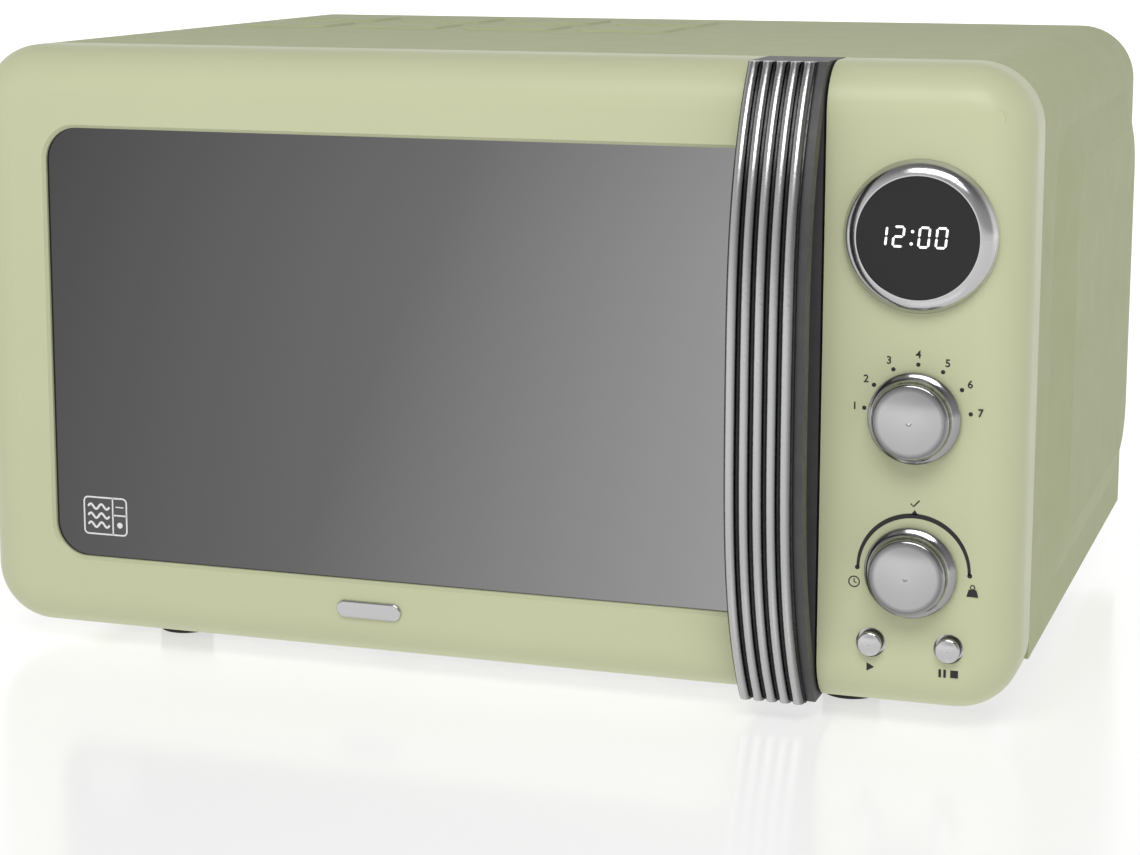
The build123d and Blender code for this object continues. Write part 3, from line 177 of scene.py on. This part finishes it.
class Recipe:
    """A node material in the making, with its texture coordinates in the row frame."""

    def __init__(self, name):
        self.material = bpy.data.materials.new(name)
        self.material.use_nodes = True
        self.tree = self.material.node_tree
        self.shader = self.tree.nodes["Principled BSDF"]
        self.coords = self.node("TexCoord").outputs["Object"]

    def node(self, kind, **inputs):
        """Shader node with some of its input values."""
        made = self.tree.nodes.new("ShaderNode" + kind)
        for name, value in inputs.items():
            made.inputs[name].default_value = value
        return made

    def link(self, output, target):
        self.tree.links.new(output, target)

    def feed(self, output, socket):
        """Joins an output to a named socket of the main shader."""
        self.link(output, self.shader.inputs[socket])

    def axes(self):
        """The coordinates' X, Y and Z as separate outputs."""
        split = self.node("SeparateXYZ")
        self.link(self.coords, split.inputs[0])
        return split.outputs

    def math(self, operation, *terms):
        """Math node; each term is a number or another node's output."""
        made = self.node("Math")
        made.operation = operation
        for end, term in zip(made.inputs, terms):
            if isinstance(term, bpy.types.NodeSocket):
                self.link(term, end)
            else:
                end.default_value = term
        return made.outputs[0]

    def noise(self, scale, detail=3, stretch=(1, 1, 1)):
        """Noise over the coordinates, which stretch multiplies axis by axis."""
        mapping = self.node("Mapping", Scale=stretch)
        self.link(self.coords, mapping.inputs["Vector"])
        made = self.node("TexNoise", Scale=scale, Detail=detail, Roughness=0.55)
        self.link(mapping.outputs["Vector"], made.inputs["Vector"])
        return made.outputs["Fac"]

    def ramp(self, factor, stops):
        """Colour ramp from (position, colour) pairs."""
        made = self.node("ValToRGB")
        elements = made.color_ramp.elements
        while len(elements) < len(stops):
            elements.new(0.5)
        for element, (position, colour) in zip(elements, stops):
            element.position = position
            element.color = (*colour, 1)
        self.link(factor, made.inputs[0])
        return made.outputs["Color"]

    def spread(self, factor, low, high, start=0.3, end=0.7):
        """Maps start to end, by default the usual reach of a noise, onto low to high."""
        made = self.node("MapRange")
        made.inputs["From Min"].default_value = start
        made.inputs["From Max"].default_value = end
        made.inputs["To Min"].default_value = low
        made.inputs["To Max"].default_value = high
        self.link(factor, made.inputs["Value"])
        return made.outputs["Result"]

    def roughen(self, factor, low, high):
        """Roughness that follows a noise between two values."""
        self.feed(self.spread(factor, low, high), "Roughness")

    def bump(self, height, strength, distance):
        made = self.node("Bump", Strength=strength, Distance=distance)
        self.link(height, made.inputs["Height"])
        self.feed(made.outputs["Normal"], "Normal")

    def set(self, **values):
        """Fixed values on the main shader's own sockets."""
        for name, value in values.items():
            self.shader.inputs[name.replace("_", " ")].default_value = value


def mottled(name, colour, contrast, patch, rough, grain=None):
    """Base for most finishes: a colour that wanders a little in patches of a given size,
    a roughness between two values, and a fine grain (size, strength, depth) as bump."""
    recipe = Recipe(name)
    dark = [c * (1 - contrast) for c in colour]
    light = [min(1, c * (1 + contrast)) for c in colour]
    wander = recipe.noise(1 / patch, 4)
    recipe.feed(recipe.ramp(wander, [(0.3, dark), (0.7, light)]), "Base Color")
    recipe.roughen(recipe.noise(3.1 / patch, 5), *rough)
    if grain:
        size, strength, depth = grain
        recipe.bump(recipe.noise(1 / size, 2), strength, depth)
    return recipe


def sage_plastic():
    recipe = mottled("sage_plastic", SAGE, contrast=0.012, patch=0.08, rough=(0.36, 0.42),
                     grain=(0.0011, 0.05, 0.00005))
    recipe.set(Specular_IOR_Level=0.28, Coat_Weight=0.08, Coat_Roughness=0.2)
    return recipe.material


def sage_paint():
    recipe = mottled("sage_paint", SAGE_STEEL, contrast=0.012, patch=0.05, rough=(0.46, 0.54),
                     grain=(0.0014, 0.06, 0.00005))
    recipe.set(Specular_IOR_Level=0.10)
    return recipe.material


def bright_chrome():
    recipe = mottled("bright_chrome", cool(0.56), contrast=0.02, patch=0.02, rough=(0.15, 0.21))
    recipe.bump(recipe.noise(900, 2, (1, 1, 0.03)), 0.04, 0.00003)
    recipe.set(Metallic=1.0)
    return recipe.material


def turned_chrome(node):
    """Bright knob that darkens towards its rim, with a band of painted shade where the face meets the
    darker ring round it; the pattern is round, so it can turn.
    """
    recipe = Recipe("turned_chrome_" + node)
    middle = centre(node)
    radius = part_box(node)[1][0] - middle.x
    axes = recipe.axes()
    offset = recipe.node("CombineXYZ")
    recipe.link(recipe.math("SUBTRACT", axes["X"], middle.x), offset.inputs["X"])
    recipe.link(recipe.math("SUBTRACT", axes["Z"], middle.z), offset.inputs["Z"])
    distance = recipe.node("VectorMath")
    distance.operation = "LENGTH"
    recipe.link(offset.outputs[0], distance.inputs[0])
    share = recipe.math("DIVIDE", distance.outputs["Value"], radius)
    # painted shade: the dark band at share 0.76 sits where the face meets the foot ring
    tone = recipe.ramp(share, [(0.0, cool(0.52)), (0.66, cool(0.47)), (0.76, cool(0.20)),
                               (0.84, cool(0.42)), (1.0, cool(0.33))])
    recipe.feed(tone, "Base Color")
    recipe.roughen(recipe.noise(150), 0.14, 0.20)
    recipe.set(Metallic=1.0)
    return recipe.material


def ribbed_chrome():
    """Satin chrome with painted shade: dark in the grooves between the ribs and darker towards the
    right side of each rib.
    """
    recipe = Recipe("ribbed_chrome")
    low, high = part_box("handle_cover")
    pitch = (high[0] - low[0]) / HANDLE_RIBS
    across = recipe.math("SUBTRACT", recipe.axes()["X"], low[0])
    rib = recipe.math("FRACT", recipe.math("DIVIDE", across, pitch))
    # painted shade: near black in each groove, light on a rib's left, darker towards its right
    tone = recipe.ramp(rib, [(0.0, grey(0.02)), (0.14, grey(0.06)), (0.25, cool(0.52)),
                             (0.6, cool(0.50)), (0.85, grey(0.16)), (1.0, grey(0.03))])
    recipe.feed(tone, "Base Color")
    recipe.roughen(recipe.noise(120, 3, (1, 1, 0.1)), 0.22, 0.30)
    recipe.set(Metallic=1.0)
    return recipe.material


def mirror_glass():
    """Dark mirror glass with a painted reflection: its colour lightens from its upper left to its
    lower right corner.
    """
    recipe = Recipe("mirror_glass")
    axes = recipe.axes()
    # painted reflection: the base colour lightens along the diagonal from upper left to lower right
    slope = recipe.math("MULTIPLY_ADD", axes["Z"], -0.45, axes["X"])
    painted_reflection = recipe.spread(slope, 0, 1, -0.30, 0.10)
    tone = recipe.ramp(painted_reflection, [(0.0, cool(0.062)), (0.5, cool(0.135)), (1.0, cool(0.33))])
    recipe.feed(tone, "Base Color")
    recipe.roughen(recipe.noise(20), 0.035, 0.06)
    recipe.set(Metallic=1.0)
    return recipe.material


def black_plastic():
    return mottled("black_plastic", (0.062, 0.062, 0.065), contrast=0.1, patch=0.01,
                   rough=(0.40, 0.52), grain=(0.0006, 0.25, 0.00006)).material


def black_rubber():
    return mottled("black_rubber", grey(0.018), contrast=0.25, patch=0.006,
                   rough=(0.65, 0.85), grain=(0.0009, 0.5, 0.0001)).material


def display_glass():
    recipe = mottled("display_glass", (0.012, 0.012, 0.013), contrast=0.1, patch=0.03,
                     rough=(0.12, 0.16))
    recipe.set(Specular_IOR_Level=0.3)
    return recipe.material


def zinc_steel():
    """Galvanised sheet with its crystal spangle."""
    recipe = Recipe("zinc_steel")
    cells = recipe.node("TexVoronoi", Scale=160.0)
    recipe.link(recipe.coords, cells.inputs["Vector"])
    spangle = recipe.ramp(cells.outputs["Color"], [(0.1, (0.46, 0.47, 0.48)),
                                                   (0.9, (0.66, 0.67, 0.68))])
    recipe.feed(spangle, "Base Color")
    recipe.roughen(recipe.noise(240), 0.28, 0.46)
    recipe.set(Metallic=1.0)
    return recipe.material


def cavity_enamel():
    """Light grey enamel with fine darker flecks."""
    recipe = Recipe("cavity_enamel")
    tone = recipe.ramp(recipe.noise(900, 2), [(0.30, (0.30, 0.30, 0.29)),
                                              (0.42, (0.62, 0.62, 0.59)),
                                              (0.7, (0.70, 0.70, 0.67))])
    recipe.feed(tone, "Base Color")
    recipe.roughen(recipe.noise(60), 0.24, 0.36)
    recipe.bump(recipe.noise(500, 2), 0.12, 0.00006)
    return recipe.material


def clear_glass():
    recipe = mottled("clear_glass", (0.90, 0.955, 0.93), contrast=0.01, patch=0.05,
                     rough=(0.02, 0.05), grain=(0.004, 0.05, 0.0001))
    recipe.set(Transmission_Weight=1.0, IOR=1.48)
    return recipe.material


def white_nylon():
    return mottled("white_nylon", (0.72, 0.71, 0.67), contrast=0.04, patch=0.01,
                   rough=(0.38, 0.5), grain=(0.0008, 0.2, 0.00006)).material


def screen_steel():
    """Black steel sheet with a staggered pattern of small round holes."""
    recipe = Recipe("screen_steel")
    turned = recipe.node("Mapping", Rotation=(0, radians(45), 0), Scale=(1, 0, 1))
    recipe.link(recipe.coords, turned.inputs["Vector"])
    holes = recipe.node("TexVoronoi", Scale=480.0, Randomness=0.0)
    recipe.link(turned.outputs["Vector"], holes.inputs["Vector"])
    tone = recipe.ramp(holes.outputs["Distance"], [(0.30, grey(0.003)),
                                                   (0.36, (0.10, 0.10, 0.105))])
    recipe.feed(tone, "Base Color")
    recipe.bump(holes.outputs["Distance"], 0.4, 0.0003)
    recipe.roughen(recipe.noise(300, 2), 0.4, 0.5)
    return recipe.material


def banded(name, axis, scale, distortion, stops, depth, strength):
    """Layers laid side by side along an axis, coloured and raised by one wave."""
    recipe = Recipe(name)
    wave = recipe.node("TexWave", Scale=scale, Distortion=distortion)
    wave.bands_direction = axis
    recipe.link(recipe.coords, wave.inputs["Vector"])
    recipe.feed(recipe.ramp(wave.outputs["Fac"], stops), "Base Color")
    recipe.bump(wave.outputs["Fac"], strength, depth)
    return recipe


def copper_winding():
    """Enamelled wire laid turn beside turn."""
    recipe = banded("copper_winding", "Z", 320.0, 0.6,
                    [(0.1, (0.22, 0.07, 0.03)), (0.8, (0.62, 0.27, 0.12))],
                    depth=0.0004, strength=0.5)
    recipe.roughen(recipe.noise(200, 2), 0.3, 0.42)
    recipe.set(Metallic=0.8)
    return recipe.material


def laminated_iron():
    """Stack of varnished laminations."""
    recipe = banded("laminated_iron", "Y", 420.0, 0.2,
                    [(0.2, (0.05, 0.05, 0.055)), (0.8, (0.16, 0.16, 0.17))],
                    depth=0.0002, strength=0.4)
    recipe.roughen(recipe.noise(150), 0.35, 0.55)
    recipe.set(Metallic=0.6)
    return recipe.material


def circuit_board():
    """Green solder mask over traces."""
    recipe = Recipe("circuit_board")
    traces = recipe.node("TexVoronoi", Scale=260.0)
    traces.distance = "MANHATTAN"
    recipe.link(recipe.coords, traces.inputs["Vector"])
    tone = recipe.ramp(traces.outputs["Distance"], [(0.25, (0.02, 0.12, 0.05)),
                                                    (0.45, (0.03, 0.20, 0.08))])
    recipe.feed(tone, "Base Color")
    recipe.roughen(recipe.noise(200, 2), 0.25, 0.4)
    return recipe.material


def mica_sheet():
    return mottled("mica_sheet", (0.50, 0.43, 0.31), contrast=0.25, patch=0.004,
                   rough=(0.35, 0.55), grain=(0.002, 0.3, 0.0001)).material


def brushed_aluminium():
    recipe = mottled("brushed_aluminium", (0.72, 0.72, 0.73), contrast=0.06, patch=0.01,
                     rough=(0.25, 0.38))
    recipe.bump(recipe.noise(700, 2, (1, 1, 0.05)), 0.1, 0.00005)
    recipe.set(Metallic=1.0)
    return recipe.material


def black_ink():
    return mottled("black_ink", grey(0.008), contrast=0.1, patch=0.004, rough=(0.35, 0.45)).material


def white_ink():
    return mottled("white_ink", grey(0.78), contrast=0.02, patch=0.004, rough=(0.35, 0.45)).material


def lit_segment():
    recipe = mottled("lit_segment", grey(0.9), contrast=0.01, patch=0.004, rough=(0.3, 0.4))
    recipe.set(Emission_Color=(0.95, 0.98, 1.0, 1), Emission_Strength=0.65)
    return recipe.material


def white_floor():
    """Plain pale sheet that glows a little and is faintly glossy."""
    recipe = mottled("white_floor", grey(0.38), contrast=0.004, patch=0.6, rough=(0.14, 0.17))
    glow = recipe.ramp(recipe.noise(1.3, 2), [(0.3, grey(0.615)), (0.7, grey(0.625))])
    recipe.feed(glow, "Emission Color")
    recipe.set(Specular_IOR_Level=0.5, Emission_Strength=1.0)
    return recipe.material


# finishes by the record's material slots, then by their own names
MATERIALS = {
    "painted_front": sage_plastic(),
    "painted_steel": sage_paint(),
    "chrome": bright_chrome(),
    "black_plastic": black_plastic(),
    "dark_glass": mirror_glass(),
    "display_glass": display_glass(),
    "zinc_steel": zinc_steel(),
    "enamel": cavity_enamel(),
    "clear_glass": clear_glass(),
    "white_plastic": white_nylon(),
    "rubber": black_rubber(),
    "aluminium": brushed_aluminium(),
    "copper_winding": copper_winding(),
    "circuit_board": circuit_board(),
    "mica": mica_sheet(),
    "iron_core": laminated_iron(),
    "screen": screen_steel(),
    "ribbed_chrome": ribbed_chrome(),
    "selector_knob": turned_chrome("selector_knob"),
    "timer_knob": turned_chrome("timer_knob"),
    "black_ink": black_ink(),
    "white_ink": white_ink(),
    "lit": lit_segment(),
    "floor": white_floor(),
}

# CAD nodes whose finish isn't the plain one of their slot
OWN_FINISH = {
    "door_screen": "screen",
    "handle_cover": "ribbed_chrome",
    "selector_knob": "selector_knob",
    "timer_knob": "timer_knob",
}


def dress_cad_nodes():
    """Gives every CAD node the finish of its slot, or its own finish."""
    for part in frame["record"]["subparts"]:
        finish = MATERIALS[OWN_FINISH.get(part["node"], part["material_slot"])]
        mesh = NODES[part["node"]].data
        mesh.materials.clear()
        mesh.materials.append(finish)


# ---------------------------------------------------------------- printed marks
# sizes are in millimetres; places taken from the frame are in metres
PANEL_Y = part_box("control_panel")[0][1]
SELECTOR = centre("selector_knob")
TIMER = centre("timer_knob")
DIAL_SHIFT = 0.8           # the printed scales sit this far right of the knobs
PANEL_INK = 0.06           # thickness of the print on the panel
GLASS_INK = 0.05           # thickness of the print on the display and the door glass
CORNERS = ((1, 1), (-1, 1), (-1, -1), (1, -1))


def arc_points(radius, start, end, count, x=0, z=0):
    """Points on a circle between two angles in degrees."""
    turns = [radians(start + (end - start) * i / (count - 1)) for i in range(count)]
    return [(x + radius * cos(turn), z + radius * sin(turn)) for turn in turns]


def circle_points(radius, count, x=0, z=0):
    """Points all the way round a circle."""
    turns = [2 * pi * i / count for i in range(count)]
    return [(x + radius * cos(turn), z + radius * sin(turn)) for turn in turns]


def rounded_frame(width, height, radius):
    """Closed outline of a rounded rectangle about its centre."""
    points = []
    for quarter, (sx, sz) in enumerate(CORNERS):
        points += arc_points(radius, 90 * quarter, 90 * quarter + 90, 6,
                             sx * (width / 2 - radius), sz * (height / 2 - radius))
    return points


class Print:
    """Flat marks on a plane that faces forwards, grown into a thin closed layer.
    Points are (x, z) in millimetres from the mark's own centre."""

    def __init__(self, middle_x, plane_y, middle_z):
        self.bm = bmesh.new()
        self.place = Vector((middle_x, plane_y, middle_z))

    def vertex(self, point):
        return self.bm.verts.new(self.place + Vector((point[0], 0, point[1])) * MM)

    def polygon(self, points):
        self.bm.faces.new([self.vertex(p) for p in points])

    def disc(self, x, z, radius, sides=28):
        self.polygon(circle_points(radius, sides, x, z))

    def rectangle(self, x, z, width, height):
        """Filled rectangle about its middle."""
        self.polygon([(x + sx * width / 2, z + sz * height / 2) for sx, sz in CORNERS])

    def line(self, points, width, closed=False):
        """Ribbon along points; width is a number or one number for each point."""
        count = len(points)
        widths = width if isinstance(width, list) else [width] * count
        sides = []
        for i, point in enumerate(points):
            before = points[(i - 1) % count] if closed or i > 0 else point
            after = points[(i + 1) % count] if closed or i < count - 1 else point
            along = Vector((after[0] - before[0], after[1] - before[1])).normalized()
            across = Vector((-along.y, along.x)) * widths[i] / 2
            sides.append((self.vertex((point[0] + across.x, point[1] + across.y)),
                          self.vertex((point[0] - across.x, point[1] - across.y))))
        pairs = zip(sides, sides[1:] + sides[:1]) if closed else zip(sides, sides[1:])
        for (a, b), (c, d) in pairs:
            self.bm.faces.new((a, b, d, c))

    def finish(self, name, depth, material, body, slot):
        """Thickens the marks forwards and hangs them on a body."""
        faces = self.bm.faces[:]
        bmesh.ops.recalc_face_normals(self.bm, faces=faces)
        grown = bmesh.ops.extrude_face_region(self.bm, geom=faces)
        moved = [g for g in grown["geom"] if isinstance(g, bmesh.types.BMVert)]
        bmesh.ops.translate(self.bm, verts=moved, vec=(0, -depth * MM, 0))
        bmesh.ops.recalc_face_normals(self.bm, faces=self.bm.faces[:])
        mesh = bpy.data.meshes.new(name)
        self.bm.to_mesh(mesh)
        self.bm.free()
        mesh.materials.append(MATERIALS[material])
        mark = new_object(name, mesh)
        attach(mark, body)


MARKS = 7
MARK_STEP = 27.5           # degrees between two marks of the upper dial
DOT_RING = 20.8
NUMBER_RING = 24.6
NUMBER_SIZE = 4.2
NUMBER_WEIGHT = 0.09       # how far a number's outline is moved outwards


def dial_marks():
    """Seven dots round the upper knob with plain numbers beside them."""
    dots = Print(SELECTOR.x + DIAL_SHIFT * MM, PANEL_Y, SELECTOR.z)
    angles = [90 + MARK_STEP * ((MARKS - 1) / 2 - i) for i in range(MARKS)]
    for angle in angles:
        dots.disc(DOT_RING * cos(radians(angle)), DOT_RING * sin(radians(angle)), 0.85)
    dots.finish("selector_dots", PANEL_INK, "black_ink", "cabinet", "black_plastic")
    for number, angle in enumerate(angles, 1):
        numeral(str(number), SELECTOR.x + (DIAL_SHIFT + NUMBER_RING * cos(radians(angle))) * MM,
                SELECTOR.z + NUMBER_RING * sin(radians(angle)) * MM)


def numeral(text, x, z):
    """One dial number as a thin mesh on the panel."""
    curve = bpy.data.curves.new("numeral_" + text, "FONT")
    curve.body = text
    curve.size = NUMBER_SIZE * MM
    curve.align_x = "CENTER"
    curve.align_y = "CENTER"
    curve.extrude = PANEL_INK * MM / 2
    curve.offset = NUMBER_WEIGHT * MM
    curve.resolution_u = 6
    shape = new_object("numeral_shape", curve)
    bpy.context.view_layer.update()
    solved = shape.evaluated_get(bpy.context.evaluated_depsgraph_get())
    mesh = bpy.data.meshes.new_from_object(solved)
    bpy.data.objects.remove(shape)
    bpy.data.curves.remove(curve)
    upright = Matrix.Rotation(radians(90), 4, "X")
    mesh.transform(Matrix.Translation((x, PANEL_Y - PANEL_INK * MM / 2, z)) @ upright)
    mesh.materials.clear()
    mesh.materials.append(MATERIALS["black_ink"])
    mark = new_object("dial_number_" + text, mesh)
    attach(mark, "cabinet")


def draw_clock(marks, x, z):
    """Ring with two hands."""
    marks.line(circle_points(2.1, 24, x, z), 0.5, closed=True)
    marks.line([(x, z + 1.3), (x, z), (x + 1, z - 0.5)], 0.45)


def draw_weight(marks, x, z):
    """Tapered block under a small ring."""
    foot, head = 2.3, 1.5
    marks.polygon([(x - foot, z - 1.8), (x + foot, z - 1.8), (x + head, z + 1.1), (x - head, z + 1.1)])
    marks.line(circle_points(0.85, 12, x, z + 2), 0.4, closed=True)


def draw_tick(marks, x, z):
    marks.line([(x - 1.6, z + 1.1), (x - 0.5, z), (x + 1.8, z + 2.5)], 0.6)


def timer_marks():
    """Half ring over the lower knob with end dots, and symbols for time, confirm and weight."""
    marks = Print(TIMER.x + DIAL_SHIFT * MM, PANEL_Y, TIMER.z + 0.5 * MM)
    radius, count = 21.8, 49
    end_width, swell = 1.15, 0.75
    widths = [end_width + swell * sin(pi * i / (count - 1)) for i in range(count)]
    marks.line(arc_points(radius, 180, 0, count), widths)
    for side in (-1, 1):
        marks.disc(side * 22, -0.3, 0.95)
    marks.polygon([(-1.5, 22.2), (1.5, 22.2), (0, 24.2)])
    draw_clock(marks, -23.2, -6.2)
    draw_weight(marks, 23.2, -6.8)
    draw_tick(marks, 0, 25.5)
    marks.finish("timer_scale", PANEL_INK, "black_ink", "cabinet", "black_plastic")


SYMBOL_DROP = 9.9          # from a push button's centre down to its symbol's


def button_marks():
    """Plain symbols under the push buttons: a triangle, and two bars with a square."""
    start, cancel = centre("start_button"), centre("cancel_button")
    gap = (cancel.x - start.x) / MM
    marks = Print(start.x, PANEL_Y, start.z - SYMBOL_DROP * MM)
    marks.polygon([(-1.4, 1.7), (1.6, 0), (-1.4, -1.7)])
    for x in (-3.2, -1.3):
        marks.rectangle(gap + x, 0, 1, 3.2)
    marks.rectangle(gap + 2.4, 0, 3, 3)
    marks.finish("button_symbols", PANEL_INK, "black_ink", "cabinet", "black_plastic")


# segments of a digit on a grid one unit wide and two high
SEGMENTS = {
    "top": ((0, 2), (1, 2)), "middle": ((0, 1), (1, 1)), "bottom": ((0, 0), (1, 0)),
    "upper_left": ((0, 1), (0, 2)), "upper_right": ((1, 1), (1, 2)),
    "lower_left": ((0, 0), (0, 1)), "lower_right": ((1, 0), (1, 1)),
}
DIGITS = {
    "1": ("upper_right", "lower_right"),
    "2": ("top", "upper_right", "middle", "lower_left", "bottom"),
    "0": ("top", "upper_left", "upper_right", "lower_left", "lower_right", "bottom"),
}
UNIT = 3.75                # segment length
BAR = 0.90                 # segment width
END_GAP = 0.18             # each segment stops this far short of its corner
SLANT = 0.09
DIGIT_PITCH = 6.6
HOURS_LEFT = -15.8
MINUTES_LEFT = 0.6
COLON_X = -2.2


def segment(display, start, end, left):
    """One pointed bar between two grid points of the digit whose left edge is given."""
    a = Vector((left + start[0] * UNIT, (start[1] - 1) * UNIT))
    b = Vector((left + end[0] * UNIT, (end[1] - 1) * UNIT))
    along = (b - a).normalized()
    across = Vector((-along.y, along.x)) * BAR / 2
    tip = along * BAR / 2
    a += along * END_GAP
    b -= along * END_GAP
    outline = [a, a + tip + across, b - tip + across, b, b - tip - across, a + tip - across]
    display.polygon([(p.x + SLANT * p.y, p.y) for p in outline])


def clock_digits():
    """The time on the round display, in lit seven-bar digits."""
    window = centre("display_window")
    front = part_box("display_window")[0][1]
    display = Print(window.x, front, window.z + 0.4 * MM)
    for text, start in (("12", HOURS_LEFT), ("00", MINUTES_LEFT)):
        for place, symbol in enumerate(text):
            for name in DIGITS[symbol]:
                segment(display, *SEGMENTS[name], start + place * DIGIT_PITCH)
    for z in (-2.6, 2.1):
        display.disc(COLON_X + SLANT * z, z, 0.62, 16)
    display.finish("display_digits", GLASS_INK, "lit", "cabinet", "white_plastic")


def door_symbol():
    """Oven symbol in the lower left corner of the glass: waves in a frame with a side strip."""
    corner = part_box("door_frame")[0]
    glass_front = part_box("door_glass")[0][1]
    width, height, strip = 20.3, 16.2, 6.6
    right = width / 2
    divide = right - strip
    symbol = Print(corner[0] + 59.2 * MM, glass_front, corner[2] + 52.1 * MM)
    symbol.line(rounded_frame(width, height, 1.9), 0.7, closed=True)
    symbol.line([(divide, -height / 2), (divide, height / 2)], 0.65)
    symbol.line([(divide, 0.6), (right, 0.6)], 0.65)
    symbol.line([(divide + 1.4, 4.3), (right - 1.4, 4.3)], 0.5)
    symbol.disc((divide + right) / 2, -3.7, 1.3, 20)
    wave_left, wave_length, swing, steps = -8.3, 10.2, 1.1, 24
    for level in (-4, 0, 4):
        wave = [(wave_left + wave_length * i / steps, level + swing * sin(4 * pi * i / steps))
                for i in range(steps + 1)]
        symbol.line(wave, 0.95)
    symbol.finish("door_symbol", GLASS_INK, "white_ink", "door", "white_plastic")


make_camera()
make_world()
make_floor()
make_key_lamp()
dress_cad_nodes()
dial_marks()
timer_marks()
button_marks()
clock_digits()
door_symbol()

bpy.context.scene.view_settings.view_transform = "Standard"
